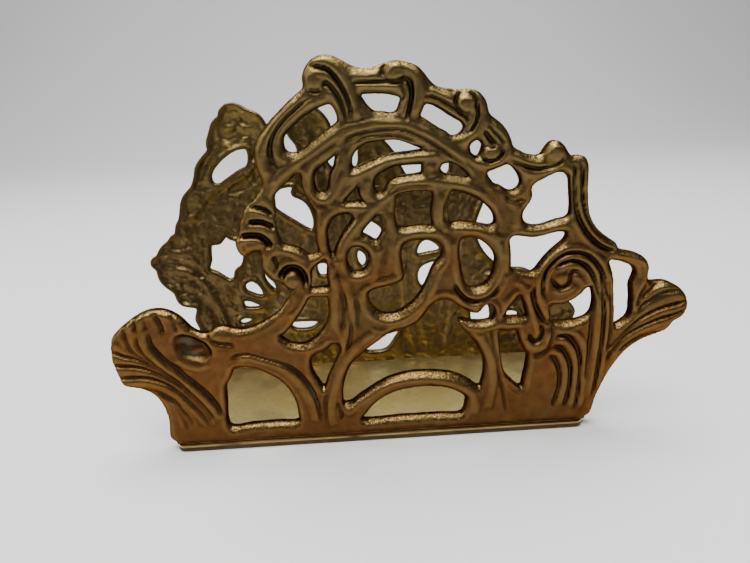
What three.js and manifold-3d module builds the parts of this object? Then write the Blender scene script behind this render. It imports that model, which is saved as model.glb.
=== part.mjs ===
// Openwork cast brass letter rack: a flat base plate with rounded edges and two
// upright pierced castings, a front one and a different rear one, each held from
// underneath by three slotted countersunk screws.
// Millimetres, +Z up, the decorated front faces -Y, origin at the centre of the
// underside of the base plate.
import * as THREE from 'three';
import { mergeVertices } from 'three/addons/utils/BufferGeometryUtils.js';
import Module from 'manifold-3d';

const wasm = await Module();
wasm.setup();

// ---- driving dimensions --------------------------------------------------
const PLATE_WIDTH = 140;
const PLATE_DEPTH = 63;
const PLATE_THICK = 2.4;
const PLATE_CORNER = 2.0;
const PLATE_EDGE = 0.7;
const GAP = 0.3;
const FOOT_HEIGHT = PLATE_THICK + GAP;
const WEB_THICK = 4.6;
const RIDGE_RISE = 0.9;
const EDGE_INSET = 0.6;
const EDGE_BEVEL = 1.2;
const FRONT_INNER_Y = -25.6;
const REAR_INNER_Y = 25.6;
const CURVE_STEP = 2.9;
const RIB_STATION = 6;
const RIB_SINK = 0.5;
const RIB_TOP_SHARE = 0.35;
const RIB_END_SHARE = 0.45;
const MITRE_LIMIT = 0.75;
const WELD = 1e-4;
const SCREW_X = [-62, -17, 58];
const SCREW_Y = 28.2;
const SHANK_RADIUS = 1.1;
const HEAD_RADIUS = 2.4;
const HEAD_DEPTH = 1.5;
const HEAD_RIM = 0.2;
const HEAD_RECESS = 0.1;
const SCREW_TOP = 6.0;
const SCREW_TIP = 0.4;
const SCREW_SIDES = 16;
const DRIVE_SLOT_WIDTH = 0.7;
const DRIVE_SLOT_DEPTH = 0.6;

// ---- front casting: outline and openings as x, z pairs --------------------
const FRONT_OUTLINE = [
  -69.5, 2.7, -71.8, 4.5, -71.8, 8.1, -71.6, 11.3, -72, 14.9, -72.5, 17, -73.4, 19.1,
  -74.3, 20.6, -75.7, 22, -77.5, 23, -79.6, 23.8, -81.8, 24.3, -83.6, 25, -84.5, 26.1,
  -85, 27.7, -85.4, 29.5, -85.9, 31.6, -86.4, 34.1, -86.3, 37.4, -85.9, 39.9, -85, 42.6,
  -83.2, 44.6, -81, 46.3, -78.6, 48, -76, 49.5, -73.5, 50.5, -70.8, 50.9, -68.2, 50.7,
  -65.8, 49.7, -63.4, 48, -61.6, 45.8, -59.8, 43.6, -57.6, 42.2, -55.2, 41.9, -53.4, 42.9,
  -51.8, 43.8, -49.6, 43.9, -47, 43, -44.5, 42.5, -41.5, 42.8, -38.5, 43.9, -35.8, 45.3,
  -33, 47, -30.8, 48.9, -29.2, 50.9, -27.8, 52.7, -27.6, 54.6, -28.8, 56.8, -30.4, 58.4,
  -31.9, 58.7, -33.4, 60.4, -34.8, 62.2, -35.4, 64, -35.1, 66.4, -36, 68.2, -38, 67.9,
  -40, 66.9, -41.6, 68, -42.5, 70.2, -42.5, 72.4, -41.6, 73.6, -41.1, 75.6, -40.6, 77.8,
  -39.6, 79.8, -39, 81.6, -37.6, 83.2, -35.6, 84.8, -34.2, 86.7, -32.9, 88.5, -32.6, 90.6,
  -33.5, 92.8, -34, 95, -34.3, 97.6, -34, 100, -32.8, 102.6, -31, 105, -28.6, 107.8,
  -25.8, 110.3, -22.8, 113, -20.2, 115, -18.5, 116.4, -18.4, 119.2, -17.7, 121.4,
  -16.4, 123.2, -14.7, 124.5, -12.4, 125.1, -10.2, 125, -8.1, 124.2, -6, 123, -3.8, 121.8,
  -1.4, 121.1, 1.2, 121.2, 3.9, 121.8, 6.2, 122.5, 8.6, 122.8, 10.8, 122.4, 13, 121.8,
  15, 120.8, 16.5, 119.2, 17.9, 117.4, 19.2, 115.9, 21.4, 114.9, 24.2, 114.4, 27.2, 114,
  29.6, 114.1, 31.9, 113.5, 33.5, 112.2, 34.6, 110.7, 35.2, 108.8, 35.8, 106.8, 37, 105.7,
  38.8, 104.3, 40.5, 102.5, 41.7, 100.6, 42.5, 98.6, 43.1, 96.8, 44.8, 95.8, 47, 94.6,
  49.4, 94, 51.6, 94.1, 52.6, 95.6, 54, 97.4, 55.8, 98.1, 57.5, 97.5, 58.9, 96.1,
  59.9, 94.4, 61, 93.2, 63.4, 93.3, 65, 92.8, 66, 91.4, 66.5, 89.4, 66.6, 86, 66.7, 82,
  67.1, 78, 67.8, 74.8, 69, 72.2, 70.6, 70, 72.8, 68, 75, 66.4, 76.8, 65, 77.8, 63.2,
  79.6, 62.3, 81.9, 61.8, 84.3, 61.1, 86.5, 59.9, 88, 58.2, 88.6, 56, 88.4, 53.8,
  89.4, 51.4, 91.5, 51.2, 93.8, 51.2, 96.2, 50.8, 98.2, 49.9, 100, 48.8, 101.4, 47.4,
  102.5, 45.9, 103.2, 43.8, 103.3, 41.3, 102.4, 39.1, 101, 37.8, 99.2, 36.9, 97.8, 35,
  96.2, 33.7, 94, 32.8, 91, 31.9, 87.8, 30.6, 84.9, 28.8, 82.4, 26.6, 80.3, 23.8,
  78.1, 20.2, 76.4, 16.6, 75.1, 13.4, 73.9, 9.9, 73.1, 6.3, 72.2, 3.8, 70.2, 2.7,
  64, 2.7, 22, 2.7, -22, 2.7, -64, 2.7,
];

const FRONT_OPENINGS = [
  // left window and the small triangle beside the leaning stems
  [-52, 6.9, -44, 7, -36, 7.2, -28.3, 7.4, -28.1, 11.6, -28.5, 15.2, -29.6, 18.4, -31.3, 21.6,
    -33.8, 24.4, -36.9, 26.6, -40.4, 28.6, -44, 29.5, -47.9, 29.4, -49.8, 26, -51.8, 22.8,
    -52.3, 17],
  [-22.5, 31.2, -20.5, 32.8, -17.4, 34, -15.2, 35.8, -13.2, 35.8, -12.4, 33.4, -14.2, 29,
    -17, 23.4, -18.8, 19.6, -21, 22.6, -22.8, 27],
  // wide central window above the low arch
  [-12.6, 13, -12.9, 17.2, -12.2, 21.8, -11.1, 25.2, -9.7, 28, -7.9, 29.9, -4.4, 33, -1.9, 34.9,
    0.5, 36.5, 2.8, 38.1, 5, 39.6, 8, 39.9, 10.8, 40.8, 13.1, 42, 14.9, 44, 16.4, 46, 18.2, 47.9,
    20.6, 49.2, 23, 49.3, 25, 48.4, 27.1, 46.8, 29.4, 45.3, 31.4, 44.3, 33.2, 44, 34.6, 45.4,
    36, 46.8, 37.8, 46.7, 39, 45, 39.2, 42.8, 38.2, 41, 35.6, 40.3, 32.6, 40.3, 29.8, 40.9,
    27.2, 41.3, 28, 39.4, 29.7, 37.3, 31.4, 35.2, 33.2, 32.6, 34.4, 29.9, 35.3, 27.6, 35.8, 25,
    35.8, 22, 35.3, 19, 34.2, 16.2, 32.4, 17, 30.4, 18.7, 27.6, 20.4, 24.3, 21.8, 20, 22.6,
    15, 23, 10, 22.9, 5.2, 21.9, 2, 20.8, -1, 19.2, -3.8, 17.4, -6.9, 15.4, -10, 13.2],
  // half-moon under the low arch
  [-6.9, 6.6, -4.9, 10, -2.8, 12.5, 0.2, 14.8, 3.4, 16.5, 6.6, 17.6, 10.5, 18.2, 15, 18.4,
    20, 18, 24.3, 16.9, 27, 15.4, 29.4, 13.2, 29.6, 10.4, 28.2, 6.5, 20, 6.3, 8, 6.3],
  // window between the stem and the hooked leaf, and the triangle above it
  [40.4, 37.4, 43, 37, 46.4, 37, 47.2, 35, 47.9, 32.7, 49, 30.2, 50.5, 27.7, 50.5, 24.6,
    49.8, 20.4, 48.6, 15.2, 47, 16, 44.4, 18.6, 42.4, 21.2, 41.4, 24.2, 40.8, 27.8, 40.4, 32],
  [47, 49.2, 45, 47, 43, 44.6, 41.7, 42.2, 43.4, 41.3, 46, 41.2, 49.6, 41.1, 49.2, 44, 48.2, 47],
  // left cup and the small hole above it
  [-32.3, 39.8, -30.7, 40.6, -28.3, 43, -26.1, 45.7, -24, 48.6, -22.3, 51.4, -21.2, 52.7,
    -18.4, 52.6, -15.6, 52.3, -15.3, 49.5, -15.4, 46, -16.3, 43, -18.2, 40, -20.7, 37.6,
    -23.7, 35.9, -27, 35.7, -30, 37],
  [-20.8, 55.2, -20.6, 58, -20.1, 61.4, -19, 62.9, -17.4, 63.9, -15.7, 65, -14.9, 63.4,
    -15.1, 60, -15.2, 55.4, -18, 55],
  // large left loop
  [9, 57.6, 8.8, 60.5, 8.4, 63.5, 8.4, 66.3, 9.3, 68.4, 11.5, 69.5, 14.5, 69.8, 17.5, 69.6,
    20, 68.8, 21.6, 67.2, 22, 65.2, 21.2, 63, 19.6, 61.3, 18.4, 59.4, 17.4, 57, 16.3, 54.5,
    14.8, 51.8, 13.1, 49.4, 11.2, 47.6, 9, 46.1, 7, 45.1, 4.6, 44.6, 2.3, 44.8, 0.2, 45.9,
    -1.3, 47.5, -2.4, 49.8, -2.7, 52, -2, 53.6, 0.2, 54.4, 2.8, 54.9, 5.6, 55.6, 7.8, 56.3],
  // right loop
  [27.4, 69.2, 29.5, 69.7, 32, 69.4, 34.4, 68.3, 36.5, 66.5, 38.2, 64.3, 39, 62.2, 38.8, 59.6,
    38.2, 57, 37, 54.7, 35.4, 53, 33.4, 52.1, 31.4, 52.1, 29.6, 53, 28.5, 54.9, 27.8, 57.5,
    27.3, 60.5, 27, 63.5, 26.8, 66.5],
  // two windows of the trunk
  [7.6, 84.2, 10, 84.9, 13.5, 85.3, 17, 85.1, 18.9, 84.3, 19.1, 82, 18.6, 79, 18.5, 76.5,
    18.9, 74.2, 18.4, 73.3, 16, 73.7, 12.5, 73.5, 9.6, 73.2, 8, 73.8, 7.1, 75.6, 6.8, 78.5,
    7, 81.5],
  [24.4, 84.4, 27.5, 84.2, 30.4, 83.1, 33.2, 81.5, 35.6, 79.6, 37.4, 77.6, 38.4, 75.6,
    38.4, 73.4, 36.8, 72.6, 34.2, 73.1, 30.7, 73.8, 27, 74.2, 24.4, 74.1, 23.6, 75.7, 23.3, 78,
    23.4, 81],
  // windows right of the trunk
  [43, 68.2, 44.3, 69.3, 47, 69.2, 50, 68.7, 53.2, 68.9, 56.6, 69.7, 59.4, 70, 61.5, 69.4,
    61.8, 68, 60.6, 66.2, 58, 64, 55.9, 62, 54, 59.7, 52.2, 57.3, 50.4, 56.2, 48, 56.7,
    45.8, 57.3, 43.9, 58, 43.5, 60, 43.4, 63, 43.1, 65.8],
  [46.7, 76, 47.6, 78, 48.9, 79.8, 49.6, 81.6, 49.3, 83.4, 49.7, 84.9, 51, 86, 53.2, 87,
    55.4, 88.1, 58, 88.8, 60.4, 88.1, 61.6, 86.5, 62, 84.2, 62.2, 81.8, 62.5, 79.2, 62.6, 76.8,
    62.2, 74.6, 60.6, 73.6, 58.2, 73.2, 55.9, 72.5, 53.8, 71.9, 51, 71.7, 48.8, 72.4, 47.2, 73.8],
  [35.4, 89.6, 37.9, 90.6, 39.8, 91.3, 41.8, 91.9, 43.4, 91.2, 45, 89.4, 46.2, 87.2,
    46.2, 85.1, 45, 83.7, 43.2, 83.2, 41.3, 83.9, 39.8, 85, 38, 85.6, 36.5, 87.1],
  [30, 97.8, 32.3, 99.6, 34.3, 98.3, 34, 96, 32.7, 94.2, 30.7, 95.2],
  // windows of the outer arc
  [17, 110.6, 19.3, 110.2, 21.5, 109, 23.7, 107.5, 25.9, 106.1, 27.9, 104.9, 28.8, 103.4,
    28, 101.8, 26.5, 100.8, 24.8, 100.7, 22.8, 102.1, 20.6, 103.3, 18.4, 104.8, 16.4, 106.2,
    15.2, 106.9, 15.8, 108.6],
  [-1.9, 113.9, 2, 114.2, 5.4, 114, 8.2, 113.4, 10, 112.6, 9.6, 110.8, 8.7, 108.8, 7, 108.1,
    4.6, 108.5, 2, 108.8, 0.4, 110, -1, 111.8],
  [-10.9, 111.8, -9.7, 110.4, -8.9, 108.2, -8.9, 106.6, -10.2, 105.4, -12.2, 104.2, -14.6, 102.6,
    -17, 100.9, -19.2, 99.2, -21.4, 98.1, -23.6, 97.8, -25.2, 98.8, -25.7, 100.8, -25.4, 102.8,
    -24.1, 104.5, -22, 106.3, -19.8, 108, -17.6, 109.4, -15.4, 110.5, -13.2, 111.4],
  // tall gap behind the scalloped leaf
  [-29.8, 85.6, -28.2, 87.4, -26.4, 89.1, -24.4, 90.7, -22.5, 92, -21.1, 92, -20.7, 89.6,
    -20.3, 87.2, -19.5, 84.9, -18.4, 82.8, -17.3, 80.8, -17.2, 78.8, -17.6, 76.2, -17.7, 72.8,
    -17.5, 69.8, -17.1, 67.2, -18.6, 66.5, -20.3, 66, -21.6, 66.8, -23, 68, -25, 69, -27.2, 69.6,
    -28.6, 70.2, -29.2, 71.6, -29.9, 74, -30.2, 76.4, -30.3, 78.8, -29.9, 80.6, -29.9, 83],
  // loops of the inner arc
  [-9.6, 97.8, -11, 96.7, -12.8, 95.4, -15, 94, -16.6, 92.6, -17.3, 90.6, -17.2, 88.2,
    -16.5, 86.4, -15.2, 85.6, -13.9, 85.8, -13, 87.1, -12.6, 89.4, -12, 91.6, -10.9, 93.6,
    -10.3, 95.8],
  [-5.4, 93.2, -5.5, 95.8, -4.4, 97.8, -2.8, 99.2, -0.8, 100.1, 1.8, 100.6, 4.3, 100.8,
    6.5, 100.9, 9, 100.6, 11.5, 99.7, 14, 98.6, 16.4, 97.4, 12.4, 96.7, 9.6, 96.5, 6.4, 96.2,
    3.4, 95.6, 0, 94.4, -2.6, 93.4, -4.2, 92.7],
  [2.5, 90.8, 5, 92.2, 8, 93, 11, 93.2, 14, 93.2, 15.8, 93.1, 15.9, 91.6, 15.8, 90.4,
    13.5, 89.8, 10.5, 89.6, 7.4, 89, 5.4, 87.8, 4.6, 86, 3.4, 84.9, 1.8, 85, 0.9, 86.5,
    0.8, 88.4, 1.3, 89.8],
  [21, 91.3, 21.8, 92.8, 23.6, 93.2, 25.8, 92.8, 27.8, 91.6, 29.4, 89.9, 30.4, 88.4, 28.8, 88.4,
    26.8, 88.7, 24.4, 89.2, 22.2, 89.7],
  [-3.5, 88, -5, 86.6, -7, 84.7, -8.4, 83, -8, 82.5, -6, 82.6, -4, 82.5, -2.2, 82, -2.9, 83.2,
    -3.6, 84.8, -3.7, 86.6],
  // loops beside the trunk
  [-12.4, 77.8, -10.4, 78.9, -8.3, 79.2, -6.5, 78.8, -5.7, 77.8, -6.6, 76.2, -8, 74.5,
    -9.4, 72.7, -10.5, 70.9, -11.5, 69, -12.2, 67, -12.9, 65.4, -13.7, 66.8, -14.3, 69,
    -14.4, 71.6, -14.3, 74, -13.5, 76.2],
  [-3.6, 72.4, -2.3, 74.6, -0.4, 76.6, 1.8, 78.3, 2.9, 77.2, 3.3, 75, 3, 72.6, 2, 70.8,
    0.9, 69.6, -0.4, 70.3, -2, 71.4],
  [-8.5, 66.2, -7.4, 68.1, -5.6, 68.6, -3.7, 68, -2.2, 66.7, -1.5, 64.6, -1.9, 62.3, -3.1, 60.4,
    -4.8, 59.7, -6.8, 60.2, -8.2, 61.7, -8.8, 63.8],
  // eye of the right scroll and the slot behind the shell hook
  [57.2, 39.6, 57.1, 42, 56.8, 44.2, 57.3, 45.5, 59, 45.4, 60.9, 45.4, 63, 46.1, 65.2, 47.2,
    67.2, 48.8, 68.9, 50.6, 70.4, 50.8, 71.3, 49.4, 71.9, 47.3, 72, 44.8, 71.6, 42.2, 70.2, 40.1,
    67.5, 39, 63.5, 38.5, 60, 38.6],
  [75.6, 59.4, 77.5, 59.6, 79.8, 59, 82.2, 58, 84.1, 56.8, 85, 55.2, 84.7, 53, 84, 51, 84.1, 48.6,
    84.5, 46, 84.5, 43.6, 84.6, 41.4, 84, 39.3, 82.5, 37.7, 80.4, 36.5, 79, 36.6, 78.6, 39,
    78.4, 42, 78, 46, 77.6, 49.6, 77.3, 53, 76.6, 55.8],
];

// ---- raised ribs of the front casting: width, then x, z pairs --------------
const FRONT_RIBS = [
  // left leaf
  [2.2, -82.3, 26.8, -77, 26.6, -72.1, 24.5, -65.7, 20.2, -60.4, 14.1, -56.6, 9],
  [2.2, -83.6, 31.2, -77.5, 30.4, -70.6, 27.8, -62.1, 20.6, -55.6, 11.6],
  [2.2, -84, 35.6, -78.2, 34.1, -72, 30.2],
  [2.2, -83, 40, -77.1, 35.4, -70, 29.5, -64.3, 24.5, -58.6, 17],
  [2.2, -78.6, 44, -76.4, 40, -73.6, 35.9, -67.1, 29.7, -60.7, 22.7, -54.8, 13.4],
  [2.4, -72.5, 47.6, -69.6, 42.4, -66.8, 35.6, -61.4, 31.4, -55.7, 31.8, -48, 34.6, -40.4, 32.6,
    -32.2, 28.2, -25.8, 22, -22.4, 13.4, -21.7, 6],
  [2.4, -68, 48.4, -63.4, 45.4, -58.6, 40.4, -52, 39.6, -44, 39.4, -36, 41, -29.4, 45.6,
    -25, 51.6, -23.6, 58, -24.6, 63.6, -28.6, 66.6, -32, 64.6],
  [1.8, -68.9, 17.6, -67.1, 7.7],
  // leaning stems, low arch and centre stem
  [2.6, -17, 5, -17, 13, -14.6, 21, -10.8, 30, -5.4, 39, -9.4, 47, -12, 56, -12.4, 62],
  [2.2, -12.6, 8, -7, 13.2, -0.4, 17, 6, 19.8, 15, 20.6, 24, 19.4, 30.4, 15.6, 33.4, 10],
  [2.4, 37.2, 6, 38, 16, 38, 24, 35, 31.6, 31.4, 38.4],
  // left loop, right loop
  [2.2, -6, 46, -1, 42, 5, 41.8, 11.6, 44.2, 16.4, 49.6, 21.4, 52.4, 26, 51, 30, 48.2,
    35.4, 49.4, 40, 53.6, 41.2, 60, 40.6, 66, 37, 70.4],
  [2.2, 23.8, 56, 24, 62, 24.4, 68, 23.4, 71.6],
  // outer and inner arcs with their curled knobs
  [2.2, -16, 118, -21, 113, -27, 107, -31, 100, -30.6, 93.6, -25, 93, -17, 97.4, -8, 102.6,
    2, 104.4, 12, 103, 22, 97.6, 32, 89.4, 41, 81, 44.6, 74],
  [2.4, -16, 119.4, -12.8, 121.8, -9, 119.4, -6.6, 114, -5.8, 108],
  [2, -2, 118, 5, 117.6, 9.4, 116.6],
  [2.4, 6.4, 120.4, 11, 120.2, 13.4, 116, 12.8, 109],
  [2, 18.6, 113.2, 24, 110.6, 28.6, 107.4],
  [2.4, 27, 112, 31, 111.4, 32.6, 106, 30.6, 101.6, 27.2, 98.6],
  [2, 36.6, 103.4, 40, 98.6, 38.8, 93.6, 34.6, 92.6],
  [2, -7.6, 90.6, -1, 91.4, 8, 94.8, 18, 94.6],
  [2, 6, 87, 14, 87.4, 24, 86.4, 33, 83],
  [2, -18.8, 88.6, -17.4, 84, -12, 82, -4, 81.2, 4, 82.4],
  [2, -15.8, 76, -15.8, 68.6, -12.4, 63.4, -10.4, 67.4, -4.6, 76, 3, 82],
  // trunk and right-hand branches
  [2, 5, 79, 5.2, 72, 4.4, 64, 5, 58.6],
  [2, 21, 84, 20.8, 78, 22, 72],
  [2, 42, 80, 42.4, 74, 41.4, 68],
  [2.2, 44, 93.6, 50, 91.4, 58, 90.6],
  [3.4, 54, 95.2, 57, 95],
  [2, 64.4, 90.6, 64.4, 82, 65, 75.6, 67.6, 70, 72, 66, 76.4, 63.4],
  [2, 45.6, 71.2, 52, 70.2, 60, 71.6],
  // right scroll
  [2, 71.7, 17, 72.8, 27.7, 73.6, 38, 73.8, 47, 71.6, 55.6, 67, 61, 60.6, 62, 55.4, 59, 53.2, 53,
    55, 47.4, 60, 46.8, 65, 49.6, 66, 54, 62.4, 57, 58.6, 55.6],
  [2, 74.6, 18.8, 76, 29, 76, 40, 75.4, 50, 73, 58, 68.6, 63.4, 62, 65, 55, 62, 50.8, 55,
    51, 46, 54.4, 39.6],
  // hooked leaf and the fan below it
  [2.4, 48.4, 34, 50.6, 30.6, 54, 30.2, 56.2, 34, 55.8, 38.6],
  [2, 57.1, 30.6, 61.4, 25.9, 63, 20, 62.6, 12],
  [2, 58.1, 33.8, 63.9, 30.2, 66.7, 23.4, 66.4, 14],
  [2, 58.5, 36, 66, 36.4, 69.6, 28, 69.6, 16],
  // shell
  [2, 77, 20, 81.7, 29, 90, 34.2, 98, 37.6],
  [2, 77.6, 26, 83.5, 36, 92, 40.4, 101, 43],
  [2, 81, 34, 86, 41, 92, 45, 99.6, 47.6],
  [2, 86.6, 54, 86.6, 46, 84.6, 38, 80, 31],
];

// ---- rear casting ----------------------------------------------------------
const REAR_OUTLINE = [
  -68, 2.7, -70.6, 5, -71.4, 12, -72.4, 20, -74.2, 26.2, -73.8, 28.4, -73.2, 31, -75.6, 31.7,
  -78.3, 32.4, -80.1, 34, -80.8, 35.9, -81.4, 38.2, -83.9, 40.6, -85.9, 43.1, -86.8, 46,
  -87.1, 48.5, -88.5, 50, -88.9, 51.8, -88.1, 53.5, -86.1, 54.8, -84.8, 56.8, -83.2, 58.8,
  -80.9, 60.4, -79.3, 62.3, -77.5, 63.6, -77.1, 64.9, -76.5, 66.9, -75, 69.6, -74.3, 72.2,
  -73.5, 75.5, -72.2, 78.1, -70.6, 79.9, -68.9, 81.5, -67.9, 83.1, -66.8, 86.2, -66, 89.1,
  -64.6, 91.2, -62.3, 93.7, -60.5, 95.5, -60.7, 96.9, -60.4, 98.9, -59.5, 101.3, -58.6, 103.5,
  -57.8, 105.3, -56.6, 106.7, -55, 107.9, -54.6, 109.4, -53.6, 110.7, -51.9, 112, -50.3, 112.5,
  -48.4, 112.4, -46.6, 111.7, -44.9, 110.6, -42.5, 109.4, -40.1, 108.2, -38.4, 106.4,
  -36.6, 103, -34.6, 98.6, -33, 94.6, -31.4, 91.4, -29.4, 89.6, -27.6, 90.4, -26.4, 92.6,
  -26.7, 95.4, -28.9, 98.6, -30, 101.8, -28.6, 105.6, -25, 109, -21, 110.2, -17.6, 109.2,
  -14.8, 106.6, -12.8, 103.2, -12.2, 99.6, -13.2, 94.6, -14.8, 90.4, -14, 87.8, -11, 85.2,
  -5.8, 84.4, -3.2, 87.6, -2.8, 92, -2, 96.2, 0.6, 99, 4, 99, 7.8, 96, 12, 90.8, 14.3, 85.6,
  16.6, 82, 20.4, 79.8, 25, 79.3, 30, 80, 32.7, 82.6, 33.4, 86.4, 36, 89.4, 39.6, 90.3,
  43.4, 88.4, 46.6, 84, 48.4, 78, 48, 72.4, 46.2, 67.6, 44.2, 62, 43.8, 58, 45.2, 53.4,
  47.8, 48.8, 51.6, 44.6, 55.6, 41.6, 60, 41.3, 65.6, 40.4, 70.6, 36.6, 75.6, 31.4,
  80.6, 27.4, 85.2, 24.2, 87.2, 20.6, 86, 16.6, 82, 12.8, 76.4, 8.6, 72, 4.4, 69, 2.7,
  62, 2.7, 22, 2.7, -22, 2.7, -62, 2.7,
];

const REAR_OPENINGS = [
  [-60.6, 84.6, -59.7, 87.2, -57.4, 89.9, -54.5, 92.3, -51.1, 94.3, -48.2, 95.3, -45.6, 95.2,
    -45, 93, -45.3, 90.3, -46.3, 88.4, -49.4, 87, -52.9, 84.9, -55.7, 83.1, -57.6, 82, -59.6, 82.2],
  [-63.8, 57.8, -62, 58.1, -60, 58.4, -58.4, 60, -57.3, 61.2, -56.2, 60.2, -53.8, 59.2,
    -51.6, 57.4, -51, 53, -52.5, 48.6, -55.2, 46.5, -55.9, 43.8, -57.8, 42.5, -59.7, 43.6,
    -62.8, 46, -65.8, 47.6, -64.8, 50.8, -64.5, 54.4],
  [-52.2, 39.7, -50.8, 41.4, -49, 41.8, -47.1, 40.8, -45.3, 38.2, -44.7, 35.2, -46.4, 34.9,
    -49.6, 36.2, -51.9, 37.6],
  [-53.2, 33.4, -51, 33.4, -48, 32.1, -45.6, 30.4, -47.5, 29.8, -53.2, 30.4],
  [-56, 23.2, -55.3, 25.1, -52.8, 25.8, -50.2, 25, -51.6, 23.5, -54.6, 22.6],
  // gap between the two left lobes
  [-37, 77.6, -33.6, 79.4, -29, 79.6, -29.7, 77.6, -29, 76, -26.8, 75, -24.6, 73.4, -23, 71,
    -22, 68, -21.7, 64.6, -22.6, 61.8, -24.6, 62.6, -29.6, 66, -34.4, 69.4, -36.8, 71.6, -37.8, 74.6],
  [-43.8, 45.4, -42, 43.2, -39.6, 40.4, -39.3, 36.8, -41.3, 38.4, -43.6, 42],
  [-35, 22.4, -29, 23, -22.9, 22.2, -25, 19.6, -30, 18.8, -33.8, 19.8],
  [-21.6, 47.6, -17.4, 47.6, -17, 43, -20.8, 42.4],
  [-6.6, 68.2, -3.2, 66.4, 1.6, 64.4, 5.4, 61, 5, 57.4, 2, 55.6, -1.4, 57.2, -4.6, 61.6],
  [-4.6, 52.6, -2, 51, -1.4, 47.4, -3, 45.2, -5, 48],
  [19.6, 49.4, 20.3, 53.4, 23, 55.6, 27, 54, 29.2, 50.8, 24.2, 49.6],
  [19.4, 40, 21, 44.2, 27.6, 46.2, 25.5, 42, 23.6, 37.4, 21.4, 35],
  [-3.7, 7.4, 0, 12.4, 6, 15, 11.3, 15.8, 9.2, 12, 5.2, 7.2],
  [42.2, 25.6, 46, 27.6, 49.8, 25, 50.2, 17.6, 46, 14.4, 42.6, 16.8],
  [57.6, 22.4, 62.4, 21.4, 62, 16.6, 57.8, 17],
];

const REAR_RIBS = [
  [2.4, -84, 52, -74, 50, -66, 42, -60, 30, -56, 16, -54, 6],
  [2.4, -80, 58, -70, 60, -66, 66, -62, 76, -56, 79, -46, 84, -38, 90],
  [2.4, -72, 76, -66, 84, -62.6, 92, -56, 99, -46, 101, -38, 98],
  [2.4, -78, 40, -70, 36, -64, 26, -60, 10],
  [2.4, -24, 92, -22, 84, -19.6, 72, -18.6, 62, -24, 54, -32, 48, -40, 30, -44, 8],
  [2.4, -19, 103, -17.6, 94, -15.6, 82, -13.6, 70, -12, 56, -10, 40, -9.4, 22, -8, 6],
  [2.4, 2, 95, 4, 84, 7.6, 72, 10.6, 60, 11.6, 44, 13, 26, 15, 6],
  [2.4, 9, 89, 13, 78, 16.8, 64, 15.6, 50, 16.6, 32, 20, 6],
  [2.4, 39.6, 86, 40, 76, 36.6, 62, 34, 48, 33, 30, 30, 6],
  [2.4, 44.4, 80, 43, 70, 40, 58, 39.4, 44, 38.6, 28, 36, 6],
  [2.4, 82.6, 20, 75, 19, 68, 27, 60, 36, 52.4, 38.6, 46, 44.6, 42, 52],
  [2.4, 76, 12.4, 67, 13, 64.6, 24, 56, 31, 52, 22, 53.4, 10, 46, 6],
];

// ---- helpers ---------------------------------------------------------------
function toVectors(flat, start = 0) {
  const points = [];
  for (let i = start; i < flat.length; i += 2) {
    points.push(new THREE.Vector2(flat[i], flat[i + 1]));
  }
  return points;
}

function smoothLoop(flat, step) {
  const knots = toVectors(flat).map((p) => new THREE.Vector3(p.x, p.y, 0));
  const curve = new THREE.CatmullRomCurve3(knots, true, 'centripetal');
  const count = Math.max(8, Math.round(curve.getLength() / step));
  const loop = [];
  for (let i = 0; i < count; i += 1) {
    const p = curve.getPointAt(i / count);
    loop.push(new THREE.Vector2(p.x, Math.max(p.y, FOOT_HEIGHT)));
  }
  return loop;
}

function oriented(loop, counterClockwise) {
  const isCounter = THREE.ShapeUtils.area(loop) > 0;
  return isCounter === counterClockwise ? loop : loop.slice().reverse();
}

// Moves every corner of a loop towards the material, which lies on its left.
function insetLoop(loop, distance) {
  const count = loop.length;
  return loop.map((point, i) => {
    const before = loop[(i + count - 1) % count];
    const after = loop[(i + 1) % count];
    const a = point.clone().sub(before).normalize();
    const b = after.clone().sub(point).normalize();
    const normal = new THREE.Vector2(-(a.y + b.y), a.x + b.x);
    if (normal.length() < 1e-6) {
      return point.clone();
    }
    normal.normalize();
    const mitre = Math.max(MITRE_LIMIT, normal.dot(new THREE.Vector2(-a.y, a.x)));
    return point.clone().addScaledVector(normal, distance / mitre);
  });
}

// A pierced plate: straight wall, then a bevel up to a slightly smaller face.
function piercedPlate(outline, openings, place) {
  const rim = oriented(smoothLoop(outline, CURVE_STEP), true);
  const holes = openings.map((hole) => oriented(smoothLoop(hole, CURVE_STEP), false));
  const loops = [rim, ...holes];
  const faceLoops = loops.map((loop) => insetLoop(loop, EDGE_INSET));
  const flat = loops.flat();
  const total = flat.length;
  const positions = [];
  const addLayer = (points, depth) => {
    for (const p of points) {
      positions.push(...place(p.x, depth, p.y));
    }
  };
  addLayer(flat, 0);
  addLayer(flat, WEB_THICK - EDGE_BEVEL);
  addLayer(faceLoops.flat(), WEB_THICK);
  const index = [];
  for (const [a, b, c] of THREE.ShapeUtils.triangulateShape(rim, holes)) {
    index.push(a, c, b);
  }
  const faceCap = THREE.ShapeUtils.triangulateShape(faceLoops[0], faceLoops.slice(1));
  for (const [a, b, c] of faceCap) {
    index.push(2 * total + a, 2 * total + b, 2 * total + c);
  }
  let start = 0;
  for (const loop of loops) {
    addWalls(index, start, loop.length, total);
    addWalls(index, start + total, loop.length, total);
    start += loop.length;
  }
  return closedMesh(positions, index);
}

function addWalls(index, start, count, stride) {
  for (let i = 0; i < count; i += 1) {
    const a = start + i;
    const b = start + ((i + 1) % count);
    index.push(a, b, b + stride, a, b + stride, a + stride);
  }
}

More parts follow.
